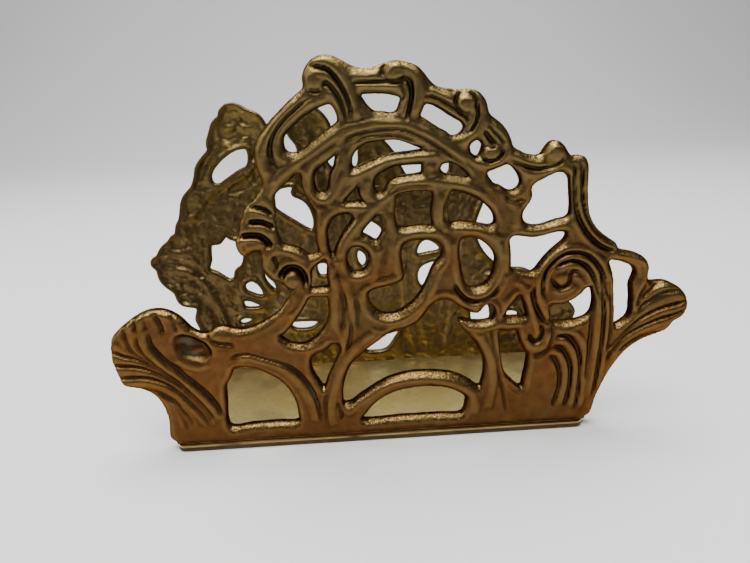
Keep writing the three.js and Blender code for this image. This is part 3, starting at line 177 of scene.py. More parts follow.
# Strokes: half width, height (negative for a crease), then the points of the line.
FRONT_STROKES = [
    # left leaf, fluted: ridges, then the valleys between them
    [1.5, 0.9, -87.4, 41.6, -84.5, 39.9, -82.2, 37.9, -79.6, 35.9, -76.7, 33.8, -73.5, 32.1],
    [1.7, 1, -89, 35.4, -85.3, 35, -82, 34.4, -77.8, 33.6, -74.6, 31.8, -70.9, 29.4, -67.6, 26.5,
     -64.3, 22.4, -61.1, 17.8, -58.4, 13.4, -56.3, 9.5],
    [1.7, 1, -89, 30.4, -85.2, 30.7, -80.5, 30.5, -74.7, 29.7, -70.7, 27.4, -67.1, 24.2, -64, 20.7,
     -60.8, 16.1, -58, 11.4, -56.8, 8.2],
    [1.7, 1, -87.4, 26, -83.8, 26.5, -80.6, 26.7, -75.3, 25.8, -71.3, 23.6, -68.1, 21, -66, 18.4,
     -63.4, 15.2, -60.8, 11.6, -59, 8.3],
    [1.9, 1.1, -74.8, 52.6, -75.6, 45.5, -76, 40.6, -74.5, 36.7, -71.9, 33.4, -68.7, 30.2, -65.8, 27,
     -62.5, 23, -59.2, 18.7, -56.3, 13.7, -54.7, 10],
    [1.8, 1, -80, 50.4, -79.4, 46.3, -79, 42.5, -78, 38.6, -75.7, 35.1, -72.5, 31.6, -69, 28.1,
     -65.7, 24.6, -62.4, 20.4],
    [1.6, 0.9, -84.4, 47.8, -82.7, 45, -82.2, 42.3, -80.7, 39.3, -78.4, 36.8, -75.8, 34.5],
    [1, -1.3, -74.1, 43.9, -73.9, 40.1, -71.9, 36.4, -69.6, 33.2, -66.7, 30.5, -63.8, 27.2, -60.1, 23.3,
     -57.3, 19.8, -55, 15.7, -53.5, 12.2],
    [0.9, -1.2, -78.1, 43.3, -77.9, 39.8, -76.6, 36.3, -73.9, 32.9, -70.7, 29.5, -67.3, 26.3, -64.3, 22.7,
     -61.3, 18.7, -58.3, 14.1, -56.5, 10.7],
    [0.8, -1, -83.2, 48, -81.6, 43.5, -81, 40.5, -79.4, 37.3, -76.4, 34.3, -73.8, 31.8],
    [0.9, -1.1, -89.4, 38.6, -85.7, 37.3, -82.7, 36.1, -79.2, 35.1, -75.8, 33.1, -72.4, 30.5, -69.1, 27.4,
     -65.8, 23.9, -62.8, 19.5, -59.8, 14.9, -58.1, 11.2],
    [0.9, -1.1, -89.4, 32.9, -85.4, 32.7, -80.2, 32.3, -75.3, 30.7, -71.1, 28.3, -67.2, 25, -64.4, 21.8,
     -61.2, 17.2, -58.5, 12.2, -57.5, 9.3],
    [0.9, -1.1, -88.6, 27.8, -84.6, 28, -79.3, 28.1, -74.5, 27.2, -70.4, 25.4, -66.8, 22.2, -63.8, 18.3,
     -61.5, 15, -59.5, 11.3, -58.4, 8.4],
    [0.8, -0.9, -86, 25, -82.6, 24.4, -77.3, 23.4, -72.7, 21.4, -69.1, 18.7, -67, 15.4, -64.7, 11.7,
     -63.5, 8.1],
    [1, 0.7, -71.2, 20.1, -69.1, 17.7, -68, 13.9, -67.3, 8.4],
    [1, 0.7, -67.5, 17.6, -65.7, 14.6, -64.2, 11.4, -63.1, 7.7],
    [0.8, -0.8, -69.5, 18.7, -68.3, 15.5, -67.2, 11.9, -66, 7.3],
    # teardrop notches on the top of the leaf
    [0.9, -1, -74.8, 50.6, -74.5, 47.8, -74.4, 44.7],
    [1.1, -1.3, -71.2, 50.2, -69.8, 46.4, -69.1, 43],
    [0.9, -1, -66.2, 49.4, -65.3, 46.4, -64.8, 43.8],
    [0.8, -0.8, -78, 50, -78, 47.2, -78, 44.8],
    # swirl in the sunken oval and the lip below it
    [1.3, 0.9, -64.4, 38.9, -63.9, 37.1, -61.9, 36, -59.2, 36.1, -56.7, 36.7],
    [1.5, 0.9, -67, 34.9, -64.5, 32.5, -61.5, 30.8, -58.3, 30.3, -55.4, 31.7],
    # arm, arc over the left window
    [2, 1.1, -46.9, 33.5, -41.8, 32.9, -37.6, 31.4, -33.5, 29.5, -30.4, 26.8, -27.9, 24, -25.6, 19.9,
     -23.9, 15.5, -22.7, 11.3, -22, 6.7],
    [0.9, -1.2, -49.1, 33.1, -43.8, 34.4, -38.5, 32.8, -34.1, 31.1, -29.9, 28.8, -26.6, 25.7, -23.9, 21.5,
     -22, 16.6, -21.1, 11.5, -20.6, 6.9],
    [0.8, -1.1, -55.6, 43.6, -55, 40.8, -53, 39, -50, 38.1, -46.6, 37.8],
    [1.8, 0.6, -54, 41.6, -51, 41, -47.4, 40.4],
    [1, -0.8, -23.6, 35.4, -27, 36, -30.4, 37.6],
    # left hook: outer tube, its inner rim and the hollow round the ball
    [1.9, 1.1, -34.9, 63.5, -34.3, 66.1, -32.1, 68.2, -28.7, 69, -25.5, 68.1, -22.8, 66.3, -21.1, 64],
    [1.5, 0.9, -30.5, 60.6, -29.1, 63.2, -27, 64.7, -24.5, 64.6, -22.4, 63.2, -20.9, 60.5, -20.7, 57.2,
     -21.4, 53.8, -23, 50.6, -25.7, 47.7, -28.8, 45.8],
    [1.5, -2.6, -29.8, 58.9, -29, 61.4, -27.2, 62.7, -24.8, 62.6, -23, 61, -22.1, 58.5, -22, 55.8],
    [0.9, -1.3, -31.6, 67, -30.7, 64.3, -30.9, 61.9],
    [1, -1, -29.8, 56.6, -28, 55.7, -25.7, 54.7],
    # scalloped leaf
    [1, -1.8, -36.8, 82.7, -34, 82, -31.7, 80.8, -30.2, 79.5],
    [1.2, -2.2, -38.2, 77.8, -35.1, 78, -32.4, 77.1, -29.9, 75.4],
    [1.3, -2.4, -41.3, 73.5, -37.8, 73.9, -34.8, 73.4, -33, 71.7, -31.7, 69.4],
    [1.1, -1.8, -39.9, 66.1, -39, 67.5, -37.3, 68.4, -34.8, 68.4],
    [0.9, 0.8, -38, 81.3, -35.2, 81, -32.8, 80.1, -30.9, 79],
    [0.9, 0.8, -38.5, 76.8, -35.3, 76.6, -33.1, 75.9, -31.1, 74.6],
    [0.9, 0.7, -41.5, 72.1, -38.4, 72.2, -35.4, 71.6, -33.6, 70.1],
    [1.6, 0.7, -38, 79.8, -35.4, 79.4, -32.8, 78.7, -30.6, 77.2],
    [1.8, 0.8, -40, 75.2, -36.5, 75.4, -33.5, 74.8, -31.5, 72.8],
    [2.2, 0.9, -39.5, 69.2, -37.1, 70.1, -34.8, 69.8],
    [1.1, 0.7, -34.9, 85.1, -32, 84.2, -30.2, 81.5, -29.8, 77, -29.1, 73.2, -28.3, 70.6],
    # leaning stems left of the central window
    [1.7, 1.1, -16.4, 5, -17, 12, -15.6, 18.6, -13.8, 24, -11, 29.6, -7.4, 34.4, -3, 38, -0.6, 40],
    [1, -0.7, -19, 7, -19, 13, -17.6, 19, -15.6, 24.4, -12.6, 30.6, -9.4, 36, -8.6, 42, -9.6, 48,
     -10.6, 54],
    [1.4, 0.9, -19, 16, -17.6, 21, -14.4, 26.8, -12, 32, -11.6, 37.6, -13.6, 42.6, -13.6, 48, -13, 55,
     -13, 61, -11.4, 66],
    [1.5, 1, -11.2, 37, -9.6, 44, -8.4, 50, -9.2, 56, -10, 60.6],
    [1.1, -0.7, -11.1, 54.9, -10.5, 51.5, -10.5, 47.2, -11, 41.6],
    [1.2, 0.9, -8.9, 53.9, -8.3, 50.5, -7.9, 45.8, -8.4, 41.5],
    [1, -0.6, -6.6, 52.1, -6.2, 47.4, -6.5, 41.3],
    [1.2, 0.8, -24, 32.8, -21.4, 34.8, -18, 36, -15.4, 38.4],
    # low arch
    [1.7, 1.2, -12, 9, -9.4, 12.2, -6, 15.2, -2.4, 17.6, 1.6, 19.6, 6, 20.8, 11, 21.3, 16, 21.1, 21, 20.2,
     25, 18.8, 28.6, 16.8, 31.2, 14.2, 32.2, 10, 32, 6],
    [0.8, -1.1, -13.6, 8, -13.8, 11, -14.6, 14.6],
    [1, 0.6, -9, 9.6, -6, 13.2, -2, 16, 3, 18.4, 9, 19.6, 16, 19.8, 22, 18.8, 27, 16.8, 30.4, 13.6],
    # centre stem with its platform
    [1.7, 1.2, 32.4, 38.2, 34.2, 34.4, 36.4, 29.6, 38, 25, 38.4, 20, 37.8, 15, 36.6, 8],
    [0.9, -0.9, 37.6, 38, 38.4, 33, 39.6, 28, 40.4, 23, 41.2, 18, 42.4, 12, 43, 7],
    [1.3, 0.8, 39, 38.6, 39.4, 34, 40, 29, 40.6, 24.6, 41.6, 21],
    [0.9, -0.8, 48, 14, 46, 15, 43.6, 17.6],
    [1.4, 0.9, 28.6, 39.8, 32.4, 38.6, 36.6, 38.8, 40.4, 39.4, 45, 39.2, 49, 39],
    # rim of the large left loop and of the right loop
    [1.4, 1, -1, 55.8, 3, 56.6, 7.4, 58, 7.2, 62, 6.8, 66.4, 8, 69.8, 11, 71.4, 15, 71.7, 19.4, 71.4,
     22.6, 69.6, 23.6, 66, 22.8, 62.4, 20.8, 59.6, 19.2, 55.6, 17.4, 51.6, 15, 48, 12, 45.2, 8.4, 43.2,
     4.6, 42.6, 1.4, 43, -1.4, 44.6, -3.4, 47, -4.4, 50.4, -4, 53.6, -1, 55.8],
    [1.2, 0.8, -3, 41, 1, 39.4, 6, 41, 11, 42.6, 14.4, 46, 17.2, 49.6, 20.6, 51.4, 24, 51, 26.8, 49,
     29.4, 46.9, 32.6, 45.9],
    [1.3, 1, 25.6, 70, 25.4, 66, 25.6, 61.6, 26.2, 57, 27.4, 53.2, 29.8, 50.8, 33, 50.1, 36, 51,
     38.4, 53.4, 40, 57, 40.8, 61.4, 40.2, 65.6, 37.8, 68.6, 34.6, 70.6, 30.6, 71.6, 27, 71.2],
    [0.9, -1.6, 25.1, 54.7, 27, 51.4, 29.4, 48.9, 31.8, 47.9, 35.9, 48.7, 38.2, 50.4, 39.8, 53],
    [1.2, 0.8, 24, 52.4, 26.4, 49.6, 29.4, 47.2, 33, 46.6, 36.6, 48.6, 39.8, 50.8, 41.6, 54.2, 42, 58],
    [1, -1, 33.6, 45, 35.6, 48, 38.2, 48.2, 40.4, 46, 40.8, 43],
    [1.2, 0.8, 40.8, 42, 41.4, 45.4, 43.6, 48.6, 46.6, 51.4],
    [1.2, 0.8, 51.2, 41, 50.8, 45, 49.4, 49.4, 47.6, 52.4, 44, 55],
    [0.9, -0.9, 50, 51, 51.6, 46.6, 53, 42],
    # trunk
    [1.4, 0.8, 22.4, 71.6, 23.6, 66.6, 23.6, 61],
    [1.3, 0.9, 21.8, 84, 21, 80.5, 21.3, 76.6, 22.3, 73.4, 22.6, 71],
    [0.8, -1, 24.6, 83.2, 22.8, 80.4, 22.3, 77, 23, 74.8],
    [1.1, 0.8, 25.6, 82.6, 23.8, 80, 23.1, 76.9, 24, 74.9],
    [1.4, 0.9, 5.4, 79.4, 6.4, 76.2, 6.3, 72.7, 5.8, 68.7, 5.3, 64.7, 4.7, 60.7],
    [0.8, -1, 3.1, 78.8, 3.7, 75.6, 3.6, 72.4],
    [1.4, 0.9, 2.4, 68.4, 0.8, 64.6, 0, 60, -1, 57.4],
    [1.4, 0.9, 6.6, 72.2, 10, 71.7, 15, 72, 19, 71.8],
    [1.4, 0.9, 23, 72.4, 28, 72.2, 33, 71.6, 37, 70.4, 40.4, 67.6],
    # loops beside the trunk
    [1.2, 0.9, -10, 66, -9.8, 62.4, -8.2, 59.2, -5.4, 58.2, -2.4, 58.8, -0.6, 61, 0.2, 64.4, -0.6, 67.2,
     -2.4, 69.2, -5, 70, -7.6, 69.6],
    [1.5, 1, -11, 64.6, -10, 68.6, -7.8, 72, -5, 75.4, -1.6, 78.6, 2, 81.6, 5.4, 84.6, 9, 86.4],
    [1.2, 0.9, -15.6, 67, -16, 71.6, -15.8, 75.4, -14.4, 78.2, -11.6, 80.2, -8, 80.8, -4, 80.6, -1.4, 80],
    [0.9, -0.8, -14.2, 64.6, -12.6, 62.6, -11.8, 59],
    [1.2, 0.8, -19.4, 64.2, -17, 65.4, -15.4, 66.4],
    [1.2, 0.8, -20.6, 53.8, -18, 53.8, -15.4, 53.6],
    # oval ring and inner arc
    [1.2, 0.9, -13.6, 96.8, -17, 94.8, -18.6, 92, -19, 88.6, -18.2, 85.4, -16.2, 83.6, -13.4, 83.6,
     -11.6, 85.6, -11.2, 88.4, -10.6, 91.4, -9.4, 93.8, -8.8, 97],
    [0.8, -0.9, -19.8, 91, -19.6, 87.6, -18.6, 84.4, -16.6, 82.2, -13.4, 81.8],
    [1.3, 0.9, -8.6, 99, -7.6, 95, -7.4, 91.6, -9.6, 88.6, -11, 85],
    [1.4, 1, -8.4, 89, -5, 90.4, -1, 91.8, 3.4, 93.8, 8, 94.8, 13, 95.1, 18, 95.1, 22, 95.4],
    [1.2, 0.8, -0.6, 90.4, -1, 87.4, -0.6, 84.6, 1.2, 83, 3.6, 83, 6.2, 84.6],
    [1.3, 0.9, -14, 81.8, -9, 81.4, -4, 80.9, 0, 80.6, 3, 82.2],
    [1.4, 1, 6.4, 86.6, 10, 87.4, 14, 87.7, 19, 87.4, 24, 86.6, 28, 85.6, 32, 84, 35.4, 81.6],
    [0.8, -0.9, 5, 84.4, 8.4, 86, 13, 86.4, 19, 86],
    [1.3, 0.9, 17.6, 93.4, 18.2, 91, 18.2, 88.6],
    # broad arc and the thin ribs under it
    [2.2, 1.1, -20.9, 94.7, -16.9, 97.4, -13.1, 100.1, -9.2, 102.5, -5.5, 103.7, -1.8, 104.4, 2.6, 104.8,
     7, 104.6, 11.4, 103.8, 15, 102.4, 18.7, 100.3, 22.4, 97.7, 26.2, 95, 29.2, 92.6],
    [0.8, -1.3, -8.2, 101, -4.9, 102.3, -1.1, 103.2, 3.3, 103.7, 7, 103.8, 10.6, 103.2, 14.3, 101.7,
     18, 99.8, 21.7, 97.2, 25.4, 94.5, 28.8, 91.7],
    [0.9, 0.8, -5.7, 100.9, -2.7, 102.2, 1.1, 102.9, 4.7, 103.1, 8.4, 102.7, 12.1, 101.8, 15.7, 100.2,
     19.4, 98.1, 23.2, 95.5, 26.9, 92.7, 29.4, 90.6],
    [0.8, -1.1, -4.2, 100.8, -1.2, 101.9, 2.5, 102.2, 6.9, 102, 10.9, 101.1, 14.6, 99.6],
    # left bar of the dome
    [1.5, 1, -19.6, 113.4, -22.6, 111, -26, 108, -29, 104.8, -31.2, 101.4, -32.2, 97.6, -31.6, 93.8,
     -30, 91],
    [1.3, 0.9, -13.6, 113.2, -17.4, 111.4, -21.2, 109, -24.6, 106.2, -27, 103, -27.6, 99.6, -26.4, 96.8,
     -23.8, 95.6],
    [0.9, -1.2, -17.6, 113.2, -21.4, 110.4, -25.4, 107, -28, 103.6, -29.4, 99.6, -29.2, 96, -27.4, 93.6],
    [1.6, 1, -30, 88, -27, 91.6, -23, 94.2, -18, 97.4, -13, 100.6, -8.4, 103.2, -4, 104.6],
    [0.8, -0.8, -22, 93.4, -17, 96.4, -12, 99.4, -8.6, 101.4],
    # first knob: two thick bands, the groove between them, and the curled bulb
    [1.9, 1.2, -15.9, 122.8, -13.6, 123.9, -10.9, 123.6, -8.9, 122, -7, 119.2, -5.4, 116.1, -4.5, 112.8,
     -4.1, 109.3, -3.9, 106.1],
    [1.5, 1, -15.5, 120.9, -13.1, 120.5, -10.9, 119.2, -9.1, 117.1, -7.4, 114.5, -6.3, 111.7, -5.6, 108.7,
     -5.2, 106],
    [0.9, -1.7, -16.2, 122.3, -13.7, 121.9, -11.1, 121, -9.1, 119, -7.3, 116.3, -6, 113.5, -5.2, 110.4,
     -4.8, 106.9],
    [1, -1.4, -13.2, 116.1, -12.1, 117.3, -10.7, 116.9, -9, 114.8, -7.7, 112.2, -6.9, 109.4, -6.4, 106.6],
    [1.1, 0.8, -12.3, 114.6, -10.5, 114.1, -9, 112.1, -7.9, 109.6, -7.3, 107],
    [0.8, -1, -17, 115.7, -14.9, 115.2, -13.1, 115.6],
    # bars between the knobs
    [1.4, 1, -4.7, 118.9, -1.8, 119, 1.1, 119, 3.9, 118.9],
    [0.8, -1.4, -3.9, 117.2, -1.2, 117.2, 2.4, 117.1, 6, 117.1, 9.6, 117],
    [1, 0.9, -3.7, 116, -0.5, 116, 3.1, 115.7, 6.6, 115.5, 10.2, 115.1],
    [1.3, 1, 17.5, 114.3, 20, 113.5, 22.9, 112.1, 25.4, 110.6],
    [0.8, -1.4, 17.3, 112.9, 20, 111.9, 22.9, 110.4, 25.8, 108.5, 28.7, 106.2],
    [1, 0.9, 17.1, 111.8, 19.6, 111, 22.5, 109.5, 25.4, 107.5, 28, 105.2],
    # second knob
    [1.8, 1.2, 6.1, 121, 8.3, 121.8, 11.1, 121.5, 13.4, 120.5, 14.8, 118.5, 15.2, 115.7, 15, 112.6,
     14.3, 109.5, 13.1, 106.8],
    [1, -1.5, 7.2, 117.1, 9.6, 117.3, 11.4, 117.6, 12.4, 116.5, 12.9, 114.4, 12.7, 111.7, 12, 108.9,
     11.1, 106.2],
    [1, 0.9, 9.2, 116.3, 10.8, 115.9, 11.6, 114.2, 11.4, 111.4, 10.6, 108.6, 9.8, 106.6],
    [0.8, -1.2, 5.6, 117.4, 7.4, 117, 9.6, 116.7, 10.6, 115.6, 10.9, 113.2, 10.3, 110.8],
    [0.7, -1.2, 5.6, 122.2, 4.7, 120.4, 4.8, 118.4],
    # third knob
    [2, 1.1, 29.6, 112.3, 32, 111.4, 33.8, 109.7, 34.4, 107.4, 34, 105.1, 32.7, 102.9, 30.7, 100.7,
     28.5, 98.9, 26.5, 97.8],
    [0.7, -1.7, 29.8, 113.2, 31.3, 112.1, 32.1, 110, 32.4, 107.5, 32, 105.2, 30.9, 103, 29.6, 101.1],
    [1.2, 0.9, 30.2, 109.4, 31.2, 107.7, 31.2, 105.6, 30.3, 103.4, 29.2, 101.5],
    [0.7, -1.3, 25.6, 109.4, 27.5, 107.7, 29.1, 105.9, 30, 104.7],
    [0.7, 0.6, 32.7, 101.4, 30.7, 99.6, 28.9, 98.2],
    [0.7, -1.5, 27.4, 113.2, 26, 111.8, 25.7, 109.9, 26.6, 108, 28.4, 106.9, 30.4, 107.2],
    [0.8, -1.1, 20.4, 115.1, 23, 114.3, 25.8, 113.3],
    # fourth knob and its short ribs
    [1.4, 1, 35.6, 104.3, 38, 102.3, 40.1, 100.4, 41.5, 98.4, 42.1, 96.3, 41.2, 94.1, 39, 92.5,
     36.2, 91.8, 33.4, 92.2, 30.9, 93.9, 28.6, 96.1],
    [0.6, -1.4, 35.7, 103.8, 37.4, 101.7, 39.3, 99.9, 40.4, 98.1],
    [0.9, 0.8, 35.2, 103.4, 36.8, 101.4, 38.5, 99.5, 39.5, 97.8],
    [0.8, -1.7, 34.6, 101.8, 35.7, 100, 36.9, 98.5, 38.1, 97.8],
    [0.7, 0.7, 34, 101.3, 34.9, 99.7, 36, 98.4],
    [0.6, -1.3, 34.6, 97.7, 36.2, 97.1, 38, 97.1],
    [0.7, -1.7, 33.8, 94.2, 35.6, 92.9, 37.9, 93.2, 39.6, 94.5, 40.3, 96.4],
    # bar to the ball and the corner post with its three ribs
    [1.3, 0.9, 42, 95, 44.7, 93.7, 47.8, 92.4, 50.9, 91.6, 53.5, 91.4],
    [0.8, -1.3, 41.9, 92.9, 45.1, 91.6, 49, 90.4, 52.8, 90, 56.3, 90.4, 58.3, 91.8, 59, 93],
    [1.1, 0.8, 45.2, 90.4, 47.5, 88.7, 50.6, 88.2, 54, 88.7, 57.1, 90, 59.7, 91.1],
    [1, 0.8, 61.2, 90.7, 61.5, 85.8, 61.8, 80, 62.4, 75.2, 63.7, 72, 66.2, 68.2, 69.2, 64.8, 72.6, 62.6],
    [1.2, 0.9, 63.5, 91.1, 63.8, 85.7, 64.3, 79.8, 65.3, 75.9, 67.1, 72.2, 69.7, 68.5, 73.2, 65.6,
     76.5, 63.8],
    [0.9, 0.8, 65.5, 91.2, 65.9, 85.5, 66.5, 79.7, 67.5, 76.2, 69.2, 72.9, 71.6, 70, 75, 67.4,
     77.6, 65.4],
    [0.8, -2.1, 62.4, 91, 62.6, 85.7, 63.1, 79.9, 63.9, 76, 65.5, 72.3, 67.9, 68.6, 71, 65.5, 74.3, 63.5,
     77.4, 62.5],
    [0.8, -2.1, 64.7, 91.1, 64.9, 85.6, 65.5, 79.8, 66.5, 76.2, 68.3, 72.5, 70.8, 69.2, 74.1, 66.7,
     77.2, 64.8],
    [1.4, 0.9, 42, 81.4, 44.6, 78.6, 45, 74.6, 44.4, 71.4],
    [0.9, -0.8, 41, 83, 43, 80.6, 47.4, 80.8],
    [1.4, 0.9, 46, 70.6, 50, 70.2, 54, 70.5, 58, 71.5, 61.4, 71.6],
    [1.3, 0.9, 41.8, 57, 42, 62, 41.9, 66.6, 42.6, 70.6],
    # right scroll: rings round the eye, ribs running down from them
    [1.3, 1.1, 53.4, 48.1, 52.8, 53.7, 53.8, 58, 56.5, 61.5, 60.4, 63.8, 64.6, 64.2, 68.7, 63, 72.2, 60.1,
     74.5, 56.2, 76.1, 51.5, 77, 46.5],
    [0.8, -1.9, 54.6, 48.2, 53.9, 53.2, 55, 57.4, 57.6, 60.5, 60.9, 62.6, 64.7, 62.8, 68.2, 61.7,
     71.3, 58.8, 73.6, 55, 75, 50.7, 75.9, 46.5],
    [1.1, 1, 55.7, 49.3, 55.1, 53.6, 56.2, 57.4, 58.8, 60.1, 62.4, 61.4, 65.8, 61.1, 69, 59.3, 71.4, 56.2,
     73.3, 52.5, 74.4, 47.7],
    [0.8, -1.9, 57.7, 57.9, 60.1, 59.5, 63.1, 60.1, 66.1, 59.3, 68.7, 57.2, 70.7, 53.9, 72.1, 50.4,
     72.9, 46.9],
    [1.1, 1, 58.2, 57, 60.7, 58.3, 64, 58.5, 66.9, 57.3, 69.1, 54.9, 70.6, 51.6, 71.6, 47.9],
    # eye of the scroll, coiled like a snail
    [0.8, -1.6, 56.9, 54.7, 57.8, 53, 59.1, 51.5, 60.5, 51.1, 61.9, 51.9, 62.8, 53.2, 63, 54.8,
     63.2, 55.8, 64.1, 56.4, 65.6, 55.8],
    [1.2, 0.9, 57.3, 51.1, 59.2, 49.8, 61.2, 49.8, 63.2, 50.4, 65, 52.1],
    [1, 0.8, 63.6, 54.3, 65.2, 54.4, 66.5, 52.9, 66.4, 50.8, 65.5, 48.7],
    # vertical ribs below the scroll
    [1.3, 1, 71.2, 56.3, 72.4, 48.8, 73.1, 40.7, 73.2, 32.3, 72.6, 23.7, 71.9, 15.6, 71.3, 9.9],
    [0.9, -1.4, 72.8, 56.2, 74.1, 48.7, 75, 40.5, 75, 32.2, 74.5, 23.6, 73.6, 15.5, 73, 10.4],
    [1.1, 1, 74.2, 55.5, 75.4, 48.7, 76.4, 40.5, 76.4, 32.1, 75.9, 24.2, 75.1, 18, 74.2, 12.3],
    [0.8, -1.3, 75.4, 54.4, 76.6, 48.6, 77.4, 41.6, 77.5, 34.4, 76.7, 27.2],
    [0.9, -1.2, 70.3, 52.4, 71, 46.6, 71.2, 40.8, 70.9, 33, 70.4, 25.1, 70, 17.7],
    # rib along the slot
    [1.2, 0.9, 84.3, 40, 84.6, 44.6, 85.9, 49.2, 87.3, 52.5, 88.4, 55.3, 87.3, 58.2, 83.9, 60, 80, 60.7,
     76.8, 60.5],
    [0.8, -1.1, 86, 43.4, 86.7, 47.4, 88.6, 50.5],
    # hooked leaf
    [1.1, 1.2, 50.5, 52.3, 49.4, 49.8, 49.3, 47.7, 50, 45.3, 51, 42.6, 51.9, 39.9, 52.7, 37.6, 53, 35.6,
     52.3, 34.1],
    [1.5, 1, 53.3, 53.7, 53.2, 50.7, 53.8, 47.4, 55.1, 44.3, 56.2, 41.6, 57.1, 39.4],
    [0.8, -1.6, 51.5, 52.3, 51, 49.5, 51.5, 46.5, 52.7, 43.8, 54, 41.5, 55.3, 39.8, 57, 39],
    [1.8, 1, 56.5, 37.4, 56.6, 34.7, 55.8, 32, 53.5, 30.5, 50.9, 31.1, 49.3, 32.9, 48.5, 34.8],
    [0.9, -1.9, 50.2, 35.6, 51, 33.6, 52.3, 32.6, 53.6, 33.4, 54.4, 35.2, 54.5, 37.1, 53.9, 38.7],
    [0.8, -1.1, 57.7, 39.1, 58.1, 35.7, 57.9, 33.3, 57.1, 30.4, 55.6, 28.4, 53.1, 27.4, 51, 27.9],
    [1.4, 0.9, 58.6, 37.4, 61.6, 36.6, 65, 37.2, 68.4, 38.8],
    # fan of leaves at the lower right
    [1.3, 1.1, 58.9, 35.3, 62.5, 36, 66, 34.7, 68.3, 31.4, 69.6, 27, 69.9, 22.1, 69.7, 17.1, 69.4, 12,
     68.8, 6.4],
    [0.8, -1.3, 58.8, 33.9, 62.6, 34.2, 65.5, 31.4, 67.4, 27.2, 68.1, 22.2, 68, 17.2, 67.7, 12.1,
     67, 6.2],
    [1.3, 1.1, 59.5, 32.4, 62.3, 32, 64.9, 28.9, 66.4, 24.5, 66.8, 19.8, 66.6, 14.7, 66.2, 11.5,
     65.6, 6.4],
    [0.8, -1.3, 58, 30.8, 60.9, 29.9, 63.4, 26.5, 64.7, 22.4, 64.9, 18, 64.5, 13.6, 63.6, 7.4],
    [1.3, 1.1, 57.7, 29, 60.2, 28.1, 62.2, 24.7, 63.1, 20.6, 63.1, 16.2, 62.4, 12.4, 61.6, 8],
    [0.8, -1.3, 56.7, 27.3, 58.8, 26.2, 60.5, 23, 61.3, 19.2, 61.2, 15.1, 60.4, 11.9, 59.2, 7.6],
    # shell at the right end
    [1.5, 0.9, 78.2, 25.2, 80.5, 29.4, 84.1, 32.8, 88.5, 34.9, 93.9, 36.7, 98.9, 37.6],
    [0.8, -1.4, 76.9, 24.1, 79.9, 29.7, 84, 34, 88.9, 36.6, 93.7, 38.5, 99.2, 39.9, 103.1, 41.6],
    [1.6, 1, 77.8, 26.8, 80.9, 31.5, 85, 35.8, 89.3, 38.2, 94.7, 40.2, 100.1, 41.6, 103.2, 42.9],
    [0.8, -1.3, 77.9, 29.3, 81.3, 33, 85.4, 37.5, 89.1, 40, 94.5, 42.3, 100.5, 43.7, 103.4, 44.4],
    [1.8, 1, 82.8, 35.3, 86.3, 39.8, 89.9, 42.9, 94.2, 44.6, 99.1, 45.8, 102.7, 45.9],
    [0.8, -1.2, 86.4, 41.6, 89.2, 44.9, 92.3, 47.1, 96, 48.1, 100, 47.8, 102.5, 46.6],
    [1.8, 1, 88.1, 44.4, 90.9, 47.5, 94.2, 49.6, 97.5, 49.9, 100.1, 48.9],
    [0.8, -1.2, 87.7, 46.2, 89.4, 48.4, 91.9, 50.3, 94.6, 51.1],
    [0.8, -1.3, 81.2, 27.5, 85.5, 30.9, 90.4, 32.7, 95.9, 33.9],
]

# Hollows: half length, half width, depth, x, z, tilt in degrees.
FRONT_HOLLOWS = [
    [7, 4.2, 2.3, -60.6, 37.6, -30],
]

# Knobs: radius, height, x, z.
FRONT_KNOBS = [
    [3.5, 1.3, 56.3, 94.8],
    [3, 1.2, 36.8, 95.6],
    [2.9, 1.4, -26.4, 58.4],
    [3, 1.1, -14.9, 118.2],
    [2.9, 1.5, 8.2, 119.4],
    [2.8, 1.8, 28.9, 109.9],
    [2.7, 0.9, 60, 54.3],
]

